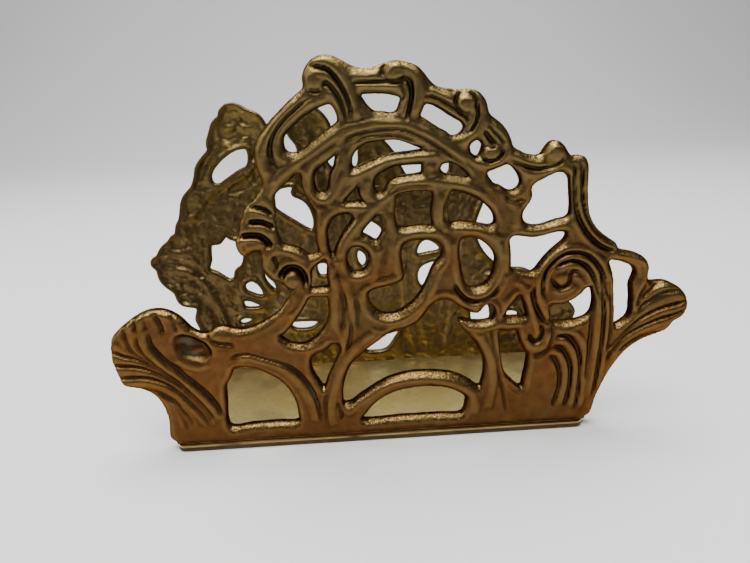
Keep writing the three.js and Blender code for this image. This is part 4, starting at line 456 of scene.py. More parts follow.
# ----------------------------------------------------------------- rear casting
REAR_OUTLINE = [
    -68, 2.7, -70.6, 5, -71.4, 12, -72.4, 20, -74.2, 26.2, -73.8, 28.4, -73.2, 31, -75.6, 31.7,
    -78.3, 32.4, -80.1, 34, -80.8, 35.9, -81.4, 38.2, -83.9, 40.6, -85.9, 43.1, -86.8, 46, -87.1, 48.5,
    -88.5, 50, -88.9, 51.8, -88.1, 53.5, -86.1, 54.8, -84.8, 56.8, -83.2, 58.8, -80.9, 60.4, -79.3, 62.3,
    -77.5, 63.6, -77.1, 64.9, -76.5, 66.9, -75, 69.6, -74.3, 72.2, -73.5, 75.5, -72.2, 78.1, -70.6, 79.9,
    -68.9, 81.5, -67.9, 83.1, -66.8, 86.2, -66, 89.1, -64.6, 91.2, -62.3, 93.7, -60.5, 95.5, -60.7, 96.9,
    -60.4, 98.9, -59.5, 101.3, -58.6, 103.5, -57.8, 105.3, -56.6, 106.7, -55, 107.9, -54.6, 109.4,
    -53.6, 110.7, -51.9, 112, -50.3, 112.5, -48.4, 112.4, -46.6, 111.7, -44.9, 110.6, -42.5, 109.4,
    -40.1, 108.2, -38.4, 106.4, -36.6, 103, -34.6, 98.6, -33, 94.6, -31.4, 91.4, -29.4, 89.6, -27.6, 90.4,
    -26.4, 92.6, -26.7, 95.4, -28.9, 98.6, -30, 101.8, -28.6, 105.6, -25, 109, -21, 110.2, -17.6, 109.2,
    -14.8, 106.6, -12.8, 103.2, -12.2, 99.6, -13.2, 94.6, -14.8, 90.4, -14, 87.8, -11, 85.2, -5.8, 84.4,
    -3.2, 87.6, -2.8, 92, -2, 96.2, 0.6, 99, 4, 99, 7.8, 96, 12, 90.8, 14.3, 85.6, 16.6, 82, 20.4, 79.8,
    25, 79.3, 30, 80, 32.7, 82.6, 33.4, 86.4, 36, 89.4, 39.6, 90.3, 43.4, 88.4, 46.6, 84, 48.4, 78,
    48, 72.4, 46.2, 67.6, 44.2, 62, 43.8, 58, 45.2, 53.4, 47.8, 48.8, 51.6, 44.6, 55.6, 41.6, 60, 41.3,
    65.6, 40.4, 70.6, 36.6, 75.6, 31.4, 80.6, 27.4, 85.2, 24.2, 87.2, 20.6, 86, 16.6, 82, 12.8, 76.4, 8.6,
    72, 4.4, 69, 2.7, 62, 2.7, 22, 2.7, -22, 2.7, -62, 2.7,
]

REAR_OPENINGS = [
    [-60.6, 84.6, -59.7, 87.2, -57.4, 89.9, -54.5, 92.3, -51.1, 94.3, -48.2, 95.3, -45.6, 95.2, -45, 93,
     -45.3, 90.3, -46.3, 88.4, -49.4, 87, -52.9, 84.9, -55.7, 83.1, -57.6, 82, -59.6, 82.2],
    [-63.8, 57.8, -62, 58.1, -60, 58.4, -58.4, 60, -57.3, 61.2, -56.2, 60.2, -53.8, 59.2, -51.6, 57.4,
     -51, 53, -52.5, 48.6, -55.2, 46.5, -55.9, 43.8, -57.8, 42.5, -59.7, 43.6, -62.8, 46, -65.8, 47.6,
     -64.8, 50.8, -64.5, 54.4],
    [-52.2, 39.7, -50.8, 41.4, -49, 41.8, -47.1, 40.8, -45.3, 38.2, -44.7, 35.2, -46.4, 34.9, -49.6, 36.2,
     -51.9, 37.6],
    [-53.2, 33.4, -51, 33.4, -48, 32.1, -45.6, 30.4, -47.5, 29.8, -53.2, 30.4],
    [-56, 23.2, -55.3, 25.1, -52.8, 25.8, -50.2, 25, -51.6, 23.5, -54.6, 22.6],
    # gap between the two left lobes
    [-37, 77.6, -33.6, 79.4, -29, 79.6, -29.7, 77.6, -29, 76, -26.8, 75, -24.6, 73.4, -23, 71, -22, 68,
     -21.7, 64.6, -22.6, 61.8, -24.6, 62.6, -29.6, 66, -34.4, 69.4, -36.8, 71.6, -37.8, 74.6],
    [-43.8, 45.4, -42, 43.2, -39.6, 40.4, -39.3, 36.8, -41.3, 38.4, -43.6, 42],
    [-35, 22.4, -29, 23, -22.9, 22.2, -25, 19.6, -30, 18.8, -33.8, 19.8],
    [-21.6, 47.6, -17.4, 47.6, -17, 43, -20.8, 42.4],
    [-6.6, 68.2, -3.2, 66.4, 1.6, 64.4, 5.4, 61, 5, 57.4, 2, 55.6, -1.4, 57.2, -4.6, 61.6],
    [-4.6, 52.6, -2, 51, -1.4, 47.4, -3, 45.2, -5, 48],
    [19.6, 49.4, 20.3, 53.4, 23, 55.6, 27, 54, 29.2, 50.8, 24.2, 49.6],
    [19.4, 40, 21, 44.2, 27.6, 46.2, 25.5, 42, 23.6, 37.4, 21.4, 35],
    [-3.7, 7.4, 0, 12.4, 6, 15, 11.3, 15.8, 9.2, 12, 5.2, 7.2],
    [42.2, 25.6, 46, 27.6, 49.8, 25, 50.2, 17.6, 46, 14.4, 42.6, 16.8],
    [57.6, 22.4, 62.4, 21.4, 62, 16.6, 57.8, 17],
]

REAR_STROKES = [
    [2.2, 1.1, -84, 52, -78, 51.6, -72, 48.4, -66, 42, -62.4, 34, -59.4, 25, -57, 15, -56, 6],
    [2.2, 1.1, -81, 58, -75, 58.4, -70, 61, -67.4, 66, -64, 72, -59, 76.6, -52, 79.4, -45, 83, -39, 88.4],
    [2.2, 1.1, -74, 76, -69.6, 80.6, -65.6, 85, -63, 90.6, -59.4, 96, -54, 99.4, -47, 100.6, -40, 99.4],
    [2.2, 1, -56, 104, -51, 106.6, -46, 105.4, -42, 102.8],
    [2, 1, -79, 39, -73, 37.6, -68, 32, -65, 24, -63, 14, -62, 6],
    [2, 1, -77, 45, -71.6, 42.6, -67, 36.6],
    [1.1, -1.3, -82, 48, -76, 47.6, -71, 44.4, -66.4, 38, -63, 30, -60.6, 20, -59, 8],
    [1.1, -1.3, -76, 68, -70, 69, -65, 74.6, -60, 79.6, -52.6, 82.2, -46, 86, -41, 92],
    [2.2, 1.1, -48, 6, -46.6, 16, -43, 27, -38, 38, -33.6, 47, -29, 54, -25, 60],
    [2.2, 1.1, -24, 93, -22.6, 84, -20.6, 74, -19, 64, -20.6, 54, -24.6, 44, -28, 32, -30, 26],
    [2.2, 1.1, -19, 103.6, -18, 95, -16.4, 84, -14.6, 72, -13, 58, -11.6, 44, -11, 30, -10, 16, -9, 6],
    [1.1, -1.2, -21.6, 99, -20.4, 88, -18.4, 76, -16.6, 64, -16, 50, -16.8, 36, -17, 20, -16, 7],
    [2.2, 1.1, -8.6, 80, -8.8, 70, -8.6, 58, -8, 44, -7.4, 30],
    [2.2, 1.1, 1, 95, 2.6, 86, 5.6, 76, 9, 66, 10.6, 54, 10.8, 42, 11.6, 30, 13, 18, 15, 7],
    [2.2, 1.1, 8, 91, 11, 82, 15, 72, 17, 62, 16.6, 50, 16, 38, 17, 26, 19, 14, 21, 6],
    [1.1, -1.2, 4.8, 92, 7.4, 82, 11.4, 71, 13.6, 60, 13.8, 48, 13.6, 36, 14.6, 24, 16.6, 12],
    [2.2, 1.1, 37.4, 87, 37.6, 78, 35, 66, 32.6, 54, 32, 42, 31.4, 30, 30, 18, 28, 7],
    [2.2, 1.1, 44, 84, 44.4, 76, 42, 67, 39.6, 58, 38.8, 48, 38, 36, 36.6, 22, 34, 8],
    [1.1, -1.2, 41, 88, 41, 78, 38.8, 68, 36.4, 57, 35.6, 46, 35, 34, 33.6, 20, 31, 8],
    [2, 1, 24, 77, 26, 68, 26.6, 58],
    [2.2, 1.1, 83, 20.4, 77, 20, 72.4, 24.6, 68, 31.6, 62, 37.4, 55.6, 39, 50, 42.6, 45.4, 48],
    [2.2, 1.1, 77, 13, 71, 13, 67, 18, 64.6, 25, 60, 31, 54.6, 33.6, 48, 35, 43, 40],
    [1.1, -1.2, 80, 16.6, 74, 16.4, 69.8, 21, 66.4, 28, 61, 34, 55, 36.4, 48.4, 39.4],
    [2, 1, 66, 8, 60, 11, 54.6, 9.4, 48, 8],
    [2, 1, 52.8, 14, 54, 21, 53, 27],
]


# ------------------------------------------------------------------- line tools
def pairs(flat):
    """The x, z points of a flat list."""
    return np.array(flat, dtype=float).reshape(-1, 2)


def spline_span(p0, p1, p2, p3, steps):
    """Points of one centripetal Catmull-Rom span, from p1 up to but not including p2."""
    k1 = max(np.linalg.norm(p1 - p0), TINY) ** 0.5
    k2 = k1 + max(np.linalg.norm(p2 - p1), TINY) ** 0.5
    k3 = k2 + max(np.linalg.norm(p3 - p2), TINY) ** 0.5
    t = np.linspace(k1, k2, steps, endpoint=False)[:, None]
    a1 = (k1 - t) / k1 * p0 + t / k1 * p1
    a2 = (k2 - t) / (k2 - k1) * p1 + (t - k1) / (k2 - k1) * p2
    a3 = (k3 - t) / (k3 - k2) * p2 + (t - k2) / (k3 - k2) * p3
    b1 = (k2 - t) / k2 * a1 + t / k2 * a2
    b2 = (k3 - t) / (k3 - k1) * a2 + (t - k1) / (k3 - k1) * a3
    return (k2 - t) / (k2 - k1) * b1 + (t - k1) / (k2 - k1) * b2


def smooth_line(points, closed):
    """A smooth line through the points, with a point about every STEP."""
    count = len(points)
    pieces = []
    for i in range(count if closed else count - 1):
        p1 = points[i]
        p2 = points[(i + 1) % count]
        p0 = points[i - 1] if closed or i > 0 else 2 * p1 - p2
        p3 = points[(i + 2) % count] if closed or i + 2 < count else 2 * p2 - p1
        steps = max(2, int(round(np.linalg.norm(p2 - p1) / STEP)))
        pieces.append(spline_span(p0, p1, p2, p3, steps))
    if not closed:
        pieces.append(points[-1:])
    return np.vstack(pieces)


# ------------------------------------------------------------------- grid tools
class Grid:
    """A regular grid over x and z that holds one value per corner."""

    def __init__(self, outline, foot):
        low = outline.min(axis=0) - 2 * GRID
        high = outline.max(axis=0) + 2 * GRID
        low[1] = foot - 2.5 * GRID
        self.x = np.arange(low[0], high[0] + GRID, GRID)
        self.z = np.arange(low[1], high[1] + GRID, GRID)
        self.shape = (len(self.x), len(self.z))

    def window(self, a, b, reach):
        """Index ranges of the corners within reach of the segment from a to b."""
        i0 = np.searchsorted(self.x, min(a[0], b[0]) - reach)
        i1 = np.searchsorted(self.x, max(a[0], b[0]) + reach)
        j0 = np.searchsorted(self.z, min(a[1], b[1]) - reach)
        j1 = np.searchsorted(self.z, max(a[1], b[1]) + reach)
        return i0, i1, j0, j1

    def near_line(self, line, closed, reach):
        """Distance to a line, up to reach, and how far along it the nearest point is."""
        distance = np.full(self.shape, float(reach))
        along = np.zeros(self.shape)
        ends = np.vstack([line, line[:1]]) if closed else line
        total = len(ends) - 1
        for k in range(total):
            a, b = ends[k], ends[k + 1]
            i0, i1, j0, j1 = self.window(a, b, reach)
            if i0 >= i1 or j0 >= j1:
                continue
            px = self.x[i0:i1, None] - a[0]
            pz = self.z[None, j0:j1] - a[1]
            d = b - a
            t = np.clip((px * d[0] + pz * d[1]) / max(d @ d, TINY ** 2), 0, 1)
            gap = np.hypot(px - t * d[0], pz - t * d[1])
            part = distance[i0:i1, j0:j1]
            closer = gap < part
            part[closer] = gap[closer]
            along[i0:i1, j0:j1][closer] = ((k + t) / total)[closer]
        return distance, along

    def inside(self, loops):
        """True at the corners that lie inside an odd number of loops."""
        odd = np.zeros(self.shape, dtype=bool)
        for loop in loops:
            for a, b in zip(loop, np.roll(loop, -1, axis=0)):
                low, high = sorted((a[1], b[1]))
                j0, j1 = np.searchsorted(self.z, (low, high))
                for j in range(j0, j1):
                    cross = a[0] + (b[0] - a[0]) * (self.z[j] - a[1]) / (b[1] - a[1])
                    odd[: np.searchsorted(self.x, cross), j] ^= True
        return odd

    def corners(self):
        """The x and the z of every corner."""
        return np.meshgrid(self.x, self.z, indexing="ij")


def blurred(field, radius):
    """Two passes of a box blur, radius in grid steps."""
    out = field
    for _ in range(2):
        for axis in (0, 1):
            width = 2 * radius + 1
            pad = [(0, 0), (0, 0)]
            pad[axis] = (radius + 1, radius)
            total = np.cumsum(np.pad(out, pad, mode="edge"), axis=axis)
            upper = np.take(total, range(width, total.shape[axis]), axis=axis)
            lower = np.take(total, range(0, total.shape[axis] - width), axis=axis)
            out = (upper - lower) / width
    return out


def value_noise(grid, size, seed):
    """Smooth seeded noise from -1 to 1 whose bumps are about size millimetres across."""
    xs, zs = grid.corners()
    rng = np.random.default_rng(seed)
    u = (xs - grid.x[0]) / size
    v = (zs - grid.z[0]) / size
    table = rng.uniform(-1, 1, (int(u.max()) + 2, int(v.max()) + 2))
    i, j = u.astype(int), v.astype(int)
    fu, fv = u - i, v - j
    fu = fu * fu * (3 - 2 * fu)
    fv = fv * fv * (3 - 2 * fv)
    low = table[i, j] * (1 - fu) + table[i + 1, j] * fu
    high = table[i, j + 1] * (1 - fu) + table[i + 1, j + 1] * fu
    return low * (1 - fv) + high * fv


def layered_noise(grid, layers, seed):
    """Sum of layers of noise, given as height and size, each with the next seed."""
    return sum(height * value_noise(grid, size, seed + k) for k, (height, size) in enumerate(layers))


def widest(field, reach):
    """Largest value within reach grid steps along x and along z."""
    out = field
    for axis in (0, 1):
        shifts = [np.roll(out, k, axis=axis) for k in range(-reach, reach + 1)]
        out = np.max(shifts, axis=0)
    return out


def relief_of(grid, strokes):
    """Height of ribs and depth of creases from the table of strokes."""
    ribs = np.zeros(grid.shape)
    creases = np.zeros(grid.shape)
    for stroke in strokes:
        half, height = stroke[0], stroke[1]
        line = smooth_line(pairs(stroke[2:]), False)
        distance, along = grid.near_line(line, False, half)
        length = np.linalg.norm(np.diff(line, axis=0), axis=1).sum()
        taper = np.minimum(along, 1 - along) * max(TAPER_PARTS, length / LONGEST_TAPER)
        taper = np.clip(taper + BLUNT_END, 0, 1)
        share = np.clip(distance / half, 0, 1)
        if height > 0:
            ribs = np.maximum(ribs, RIB_SHARE * height * np.sqrt(1 - share ** 2) * taper)
        else:
            creases = np.maximum(creases, -CREASE_SHARE * height * (1 - share) * taper)
    return ribs, creases


def hollows_of(grid, hollows):
    """Depth of the sunken ovals."""
    xs, zs = grid.corners()
    depth = np.zeros(grid.shape)
    for length, width, deep, x, z, tilt in hollows:
        c, s = math.cos(math.radians(tilt)), math.sin(math.radians(tilt))
        along = ((xs - x) * c + (zs - z) * s) / length
        across = ((zs - z) * c - (xs - x) * s) / width
        depth = np.maximum(depth, deep * np.clip(1 - (along ** 2 + across ** 2) ** 2, 0, 1))
    return depth


def knobs_of(grid, knobs):
    """Height of the round knobs."""
    xs, zs = grid.corners()
    height = np.zeros(grid.shape)
    for radius, top, x, z in knobs:
        share = np.clip(np.hypot(xs - x, zs - z) / radius, 0, 1)
        height = np.maximum(height, top * (1 - share ** 2))
    return height


# ------------------------------------------------------------- turning to meshes
CELL_CORNERS = [(0, 0), (1, 0), (1, 1), (0, 1)]
WHOLE_CELL = 15
OPPOSITE_CORNERS = (5, 10)
CLEAR_OF_CORNER = 0.12  # share of a cell that a cut keeps away from its corners


def cell_polygons(case):
    """Polygons of one grid cell for a mask of its inside corners, and its cut edges.

    Corners are 0 to 3 anticlockwise and cut edge k lies between corners k and k + 1.
    """
    inside = [bool(case >> k & 1) for k in range(4)]
    if case in OPPOSITE_CORNERS:
        lone = [k for k in range(4) if inside[k]]
        shapes = [[("corner", k), ("edge", k), ("edge", (k + 3) % 4)] for k in lone]
        cuts = [(("edge", k), ("edge", (k + 3) % 4)) for k in lone]
        return shapes, cuts
    ring = []
    for k in range(4):
        if inside[k]:
            ring.append(("corner", k))
        if inside[k] != inside[(k + 1) % 4]:
            ring.append(("edge", k))
    cuts = []
    for first, second in zip(ring, ring[1:] + ring[:1]):
        if first[0] == "edge" and second[0] == "edge":
            cuts.append((first, second))
    if case == WHOLE_CELL:
        cuts = []
    return [ring], cuts


class Sheet:
    """Cuts the grid along the zero line of a field and numbers the points it needs."""

    def __init__(self, grid, field):
        self.grid = grid
        small = CLEAR_OF_CORNER * GRID
        field = np.where(np.abs(field) < small, np.where(field > 0, small, -small), field)
        self.inside = field > 0
        nx, nz = grid.shape
        self.corner_id = np.full((nx, nz), -1)
        self.corner_id[self.inside] = np.arange(self.inside.sum())
        ii, jj = np.nonzero(self.inside)
        self.at = [np.stack([grid.x[ii], grid.z[jj]], axis=1)]
        self.index = [np.stack([ii, jj], axis=1).astype(float)]
        start = len(ii)
        self.edge_id = {}
        for name, di, dj in (("x", 1, 0), ("z", 0, 1)):
            a = field[: nx - di, : nz - dj]
            b = field[di:, dj:]
            cut = (a > 0) != (b > 0)
            ei, ej = np.nonzero(cut)
            t = a[cut] / (a[cut] - b[cut])
            ids = np.full(cut.shape, -1)
            ids[cut] = start + np.arange(len(ei))
            self.edge_id[name] = ids
            self.index.append(np.stack([ei + t * di, ej + t * dj], axis=1))
            cut_x = grid.x[ei] + t * di * GRID
            cut_z = grid.z[ej] + t * dj * GRID
            self.at.append(np.stack([cut_x, cut_z], axis=1))
            start += len(ei)
        self.corner_count = len(ii)
        self.at = np.vstack(self.at)
        self.index = np.vstack(self.index)

    def lookup(self, label, i, j):
        """Point numbers of one corner or cut edge of the cells i, j."""
        kind, k = label
        if kind == "corner":
            di, dj = CELL_CORNERS[k]
            return self.corner_id[i + di, j + dj]
        if k == 0:
            return self.edge_id["x"][i, j]
        if k == 1:
            return self.edge_id["z"][i + 1, j]
        if k == 2:
            return self.edge_id["x"][i, j + 1]
        return self.edge_id["z"][i, j]

    def build(self):
        """Polygons over the inside, and the pairs of points along its edge."""
        code = np.zeros((self.inside.shape[0] - 1, self.inside.shape[1] - 1), dtype=int)
        for k, (di, dj) in enumerate(CELL_CORNERS):
            part = self.inside[di: di + code.shape[0], dj: dj + code.shape[1]]
            code |= part.astype(int) << k
        polygons, rim = [], []
        for case in range(1, WHOLE_CELL + 1):
            i, j = np.nonzero(code == case)
            if not len(i):
                continue
            shapes, cuts = cell_polygons(case)
            for shape in shapes:
                polygons.append(np.stack([self.lookup(label, i, j) for label in shape], axis=1))
            for first, second in cuts:
                rim.append(np.stack([self.lookup(first, i, j), self.lookup(second, i, j)], axis=1))
        return polygons, np.vstack(rim)

    def sample(self, field):
        """Value of a field at every point, bilinear on the cut edges."""
        i = np.floor(self.index[:, 0]).astype(int)
        j = np.floor(self.index[:, 1]).astype(int)
        i1 = np.minimum(i + 1, field.shape[0] - 1)
        j1 = np.minimum(j + 1, field.shape[1] - 1)
        fi = self.index[:, 0] - i
        fj = self.index[:, 1] - j
        low = field[i, j] * (1 - fi) + field[i1, j] * fi
        high = field[i, j1] * (1 - fi) + field[i1, j1] * fi
        return low * (1 - fj) + high * fj


def new_object(name, vertices, faces, attributes=None):
    """A smooth-shaded object from points in millimetres, with one value per point and attribute."""
    mesh = bpy.data.meshes.new(name)
    mesh.from_pydata((vertices * MM).tolist(), [], faces)
    mesh.validate()
    mesh.polygons.foreach_set("use_smooth", [True] * len(mesh.polygons))
    for key, values in (attributes or {}).items():
        layer = mesh.attributes.new(key, "FLOAT", "POINT")
        layer.data.foreach_set("value", values.astype(np.float32))
    mesh.update()
    piece = bpy.data.objects.new(name, mesh)
    bpy.context.scene.collection.objects.link(piece)
    return piece


# ---------------------------------------------------------------- cast panels
# Heights are measured from the back plane, widths along the face.
FULL_THICK = 5.5        # highest knob or rib
SOFT_TOP = 4.8          # heights above this one bend over towards FULL_THICK
PLATEAU = 4.3           # plain face
WALL = 2.9              # top of the straight side wall, where the rolled edge starts
FULLER = 0.35           # how far the metal reaches into the drawn openings
FULLER_FADE = 2         # width over which that fades to nothing at the outline and the foot
FLARE = 0.009           # share by which the front outline is spread sideways,
FLARE_CENTRE = -6.3     # from here
FLARE_FROM = 80         # and fading out past here, so that the end of the shell stays in place
FLARE_OVER = 20
CAD_FOOT = 2.7          # where the drawn outlines end, just above the plate
CLEAR_OF_FOOT = 0.05    # cut points lower than this above the plate are on the foot
ROLL = 2.5              # width of the rolled edge, with what the crown adds and a leaf takes
CROWN_ROLL = 0.7
CROWN_FROM, CROWN_OVER = 88, 20
LEAF_ROLL = 0.9
LEAF_TO, SHELL_FROM, LEAF_OVER = -48, 72, 10
NARROWEST_ROLL = 0.8
ROUNDNESS = 2.2         # exponent of the roll, and how much flatter it is on upward edges
TOP_BEVEL = 0.8
RIM_OFFSET = 1.5        # a fine bead runs along every edge, this far in
BEAD_HEIGHT = 0.22
BEAD_SPREAD = 0.8
RELIEF_FADE = 1.1       # width at the edge over which the relief fades in
BAR_REACH = 5           # grid steps over which the half width of a bar is looked for
THIN_BAR_RISE = 0.6     # share of the rise and of the drawing that the thinnest bars keep
THIN_BAR_GIRTH = 0.4
GIRTH_FROM, GIRTH_OVER = 1.0, 1.2
LUMPS = ((0.12, 3.1), (0.05, 1.3))              # height and size of each layer of lumps
COARSE = ((0.7, 6.5), (0.5, 2.6), (0.25, 1.3))  # the same for the rough side
RIB_SHARE = 0.65        # shares of the stroke heights that are used
CREASE_SHARE = 0.95
TAPER_PARTS = 7         # a stroke thins out over a seventh of its length at each end,
LONGEST_TAPER = 2.4     # or over this many millimetres where that is less
BLUNT_END = 0.08        # share of its height that it keeps at the very end
FLOOR_OF_HOLLOWS = 1.9  # what would lie lower goes only half as deep below this
THINNEST = 0.9          # metal between the worked side and the rough side
BACK_ROLL = 0.5         # the rough side curls in by this much at its edge
BACK_CURL = 0.9         # within this width
TROUGH = 0.5            # depth of the rough side, and the width over which it is reached
TROUGH_EDGE = 0.8
TROUGH_SLOPE = 1.6
BEHIND_RIBS = 1.3       # how much of the ribs and creases shows on the rough side
BEHIND_CREASES = 0.8
SHOULDER = 2.6          # width of the border along the edges that the materials use
TOUCH = 0.01            # heights closer than this count as the same


def roll_width(grid):
    """Width of the rolled edge: wide in the crown, narrow on the leaf and the shell."""
    xs, zs = grid.corners()
    crown = np.clip((zs - CROWN_FROM) / CROWN_OVER, 0, 1)
    leaf = np.clip((LEAF_TO - xs) / LEAF_OVER, 0, 1)
    shell = np.clip((xs - SHELL_FROM) / LEAF_OVER, 0, 1)
    leaves = np.maximum(leaf, shell)
    return ROLL + CROWN_ROLL * crown - LEAF_ROLL * leaves


def free_edge(rim_line, foot):
    """The outline without its straight foot, run on below the foot at both ends."""
    free = rim_line[rim_line[:, 1] > foot + TOUCH]
    left = [free[0][0], foot - REACH]
    right = [free[-1][0], foot - REACH]
    return np.vstack([[left], free, [right]])


def flared(outline):
    """The outline of the front face, spread sideways to the wider rim that lies behind it."""
    points = pairs(outline)
    fade = 1 - np.clip((points[:, 0] - FLARE_FROM) / FLARE_OVER, 0, 1)
    points[:, 0] += FLARE * fade * (points[:, 0] - FLARE_CENTRE)
    return points.ravel()


def edge_fields(grid, rim_line, holes, foot):
    """A field whose zero line is the cut, and the distance in from the nearest rolled edge."""
    inside = grid.inside([rim_line] + holes)
    near_rim = grid.near_line(free_edge(rim_line, foot), False, REACH)[0]
    near_hole = np.full(grid.shape, REACH)
    for hole in holes:
        near_hole = np.minimum(near_hole, grid.near_line(hole, True, REACH)[0])
    rolled = np.minimum(near_rim, near_hole)
    fuller = FULLER * np.clip((near_rim - near_hole) / FULLER_FADE, 0, 1)
    above_foot = grid.corners()[1] - foot
    distance = np.minimum(rolled, np.abs(above_foot))
    field = np.where(inside, distance, -distance)
    field += fuller * np.clip(above_foot / FULLER_FADE, 0, 1)
    edge = np.maximum(np.where(inside | (above_foot < 0), rolled, -rolled) + fuller, 0)
    return field, edge


def dome_over(grid, edge, half_width):
    """The rounded rise from the wall to the plain face, lower on thin bars."""
    roll = roll_width(grid)
    bend = np.clip(half_width, NARROWEST_ROLL, roll)
    upward = blurred(np.clip(-np.gradient(edge, GRID, axis=1), 0, 1), 1)
    curve = ROUNDNESS - TOP_BEVEL * upward
    dome = (1 - (1 - np.clip(edge / bend, 0, 1)) ** curve) ** (1 / curve)
    return dome * (THIN_BAR_RISE + (1 - THIN_BAR_RISE) * bend / roll)


def bent_over(height):
    """Heights above SOFT_TOP are eased so that none passes FULL_THICK."""
    spare = FULL_THICK - SOFT_TOP
    eased = SOFT_TOP + spare * np.tanh((height - SOFT_TOP) / spare)
    return np.where(height > SOFT_TOP, eased, height)


def worked_side(grid, edge, drawn, carved, seed):
    """Height of the decorated side: drawn ribs and creases, carved knobs and hollows, lumps."""
    ribs, creases = drawn
    half_width = blurred(widest(edge, BAR_REACH), 2)
    bead = BEAD_HEIGHT * np.exp(-((edge - RIM_OFFSET) / BEAD_SPREAD) ** 2)
    girth = np.clip((half_width - GIRTH_FROM) / GIRTH_OVER, THIN_BAR_GIRTH, 1)
    relief = (np.maximum(ribs, bead) - creases) * girth + carved
    relief += layered_noise(grid, LUMPS, seed)
    fade = np.clip(edge / RELIEF_FADE, 0, 1)
    height = WALL + (PLATEAU - WALL) * dome_over(grid, edge, half_width) + relief * fade
    low = (height < FLOOR_OF_HOLLOWS) & (edge > RIM_OFFSET)
    return bent_over(np.where(low, 0.5 * (height + FLOOR_OF_HOLLOWS), height))


def rough_side(grid, edge, drawn, seed):
    """Depth of the plain side: lumpy, hollow behind the ribs, curled in along its edge."""
    ribs, creases = drawn
    coarse = layered_noise(grid, COARSE, seed + len(LUMPS))
    hollow = TROUGH + BEHIND_RIBS * blurred(ribs, 1) - BEHIND_CREASES * blurred(creases, 1)
    depth = (np.abs(coarse) + hollow) * np.clip((edge - TROUGH_EDGE) / TROUGH_SLOPE, 0, 1)
    return depth + BACK_ROLL * (1 - np.clip(edge / BACK_CURL, 0, 1)) ** 2


def exposure_of(height):
    """Above zero where the surface stands proud of what is round it, below in creases."""
    sharp = height - blurred(height, 2)
    broad = height - blurred(height, 6)
    return np.clip(sharp * 1.2 + broad * 0.5, -1, 1)


def casting(name, outline, openings, strokes, knobs, hollows, foot, place, seed):
    """A pierced casting: rolled edges, ribs, creases and knobs on one side, rough on the other."""
    rim_line = smooth_line(pairs(outline), True)
    rim_line[rim_line[:, 1] < CAD_FOOT + TOUCH, 1] = foot
    holes = [smooth_line(pairs(hole), True) for hole in openings]
    grid = Grid(rim_line, foot)
    field, edge = edge_fields(grid, rim_line, holes, foot)
    drawn = relief_of(grid, strokes)
    carved = knobs_of(grid, knobs) - hollows_of(grid, hollows)
    front = worked_side(grid, edge, drawn, carved, seed)
    back = np.minimum(rough_side(grid, edge, drawn, seed), front - THINNEST)
    shoulder = np.clip(1 - edge / SHOULDER, 0, 1)
    sheet = Sheet(grid, field)
    return panel_mesh(name, sheet, foot, place, front, back, exposure_of(front), shoulder)


def looks_to_minus_y(place):
    """True where a greater depth lies at a smaller y."""
    zero = np.array([0.0])
    return (place(zero, zero + 1, zero) - place(zero, zero, zero))[0][1] < 0


def panel_mesh(name, sheet, foot, place, front, back, exposure, shoulder):
    """Joins the worked side, the rough side and the wall between them into one closed skin."""
    polygons, rim = sheet.build()
    count = len(sheet.at)
    on_rim = np.arange(count) >= sheet.corner_count
    on_rim &= sheet.at[:, 1] > foot + CLEAR_OF_FOOT
    front_at = np.where(on_rim, WALL, sheet.sample(front))
    back_at = np.where(on_rim, BACK_ROLL, sheet.sample(back))
    exposed = np.where(on_rim, 0.0, sheet.sample(exposure))
    near_edge = np.where(on_rim, 1.0, sheet.sample(shoulder))
    upper = place(sheet.at[:, 0], front_at, sheet.at[:, 1])
    lower = place(sheet.at[:, 0], back_at, sheet.at[:, 1])
    turned = looks_to_minus_y(place)
    faces = []
    for block in polygons:
        flipped = block[:, ::-1]
        faces += (block if turned else flipped).tolist()
        faces += ((flipped if turned else block) + count).tolist()
    wall = np.stack([rim[:, 0], rim[:, 1], rim[:, 1] + count, rim[:, 0] + count], axis=1)
    faces += (wall[:, ::-1] if turned else wall).tolist()
    values = {"worked": np.concatenate([np.ones(count), np.zeros(count)]),
              "exposure": np.concatenate([exposed, np.zeros(count)]),
              "shoulder": np.concatenate([near_edge, near_edge])}
    return new_object(name, np.vstack([upper, lower]), faces, values)


def front_place(x, depth, z):
    """Points of the front casting, which faces the viewer."""
    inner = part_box("front_panel")[1][1] / MM
    return np.stack([x, inner - depth, z], axis=1)


def rear_place(x, depth, z):
    """Points of the rear casting, which faces away."""
    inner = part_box("rear_panel")[0][1] / MM
    return np.stack([x, inner + depth, z], axis=1)


# -------------------------------------------------------------------- materials
# Noise scales are bumps per metre, places and bump depths are metres.
FRONT_TONES = {
    "warm": (0.116, 0.049, 0.015), "olive": (0.095, 0.058, 0.021), "crown": (0.118, 0.080, 0.032),
    "dark": (0.020, 0.011, 0.005), "bright": (0.40, 0.285, 0.095), "green": (0.07, 0.11, 0.08),
}
# The rear casting is the same brass as the front; these tones are a lightened copy, painted light for the
# shade between the castings.
REAR_LIGHTENED_TONES = {
    "warm": (0.115, 0.074, 0.030), "olive": (0.095, 0.062, 0.022), "crown": (0.155, 0.108, 0.034),
    "dark": (0.045, 0.028, 0.012), "bright": (0.62, 0.48, 0.20), "green": (0.10, 0.15, 0.09),
}
# Painted reflected light: the inner faces are lightened low down in the middle, between the castings.
PAINTED_FILL_INSIDE = (0.235, 0.165, 0.070)
WARM_TO_OLIVE = (0.025, 0.10)       # heights between which the tones change
# Heights over which a lighter tone is painted on the crown, as painted light.
PAINTED_CROWN_LIGHT = (0.070, 0.112)
PAINTED_FILL_ACROSS = (0.060, 0.035)      # the patch of painted reflected light starts and is full at these places
PAINTED_FILL_UP = (0.080, 0.045)
NEUTRAL_GLANCE = (1.0, 1.0, 1.0)
BROWN_GLANCE = (0.30, 0.22, 0.12)   # tint of what the metal reflects at a low angle
PLATE_MARGIN = (0.0299, 0.0303)     # painted shadow: the dark strip in front of and behind the castings
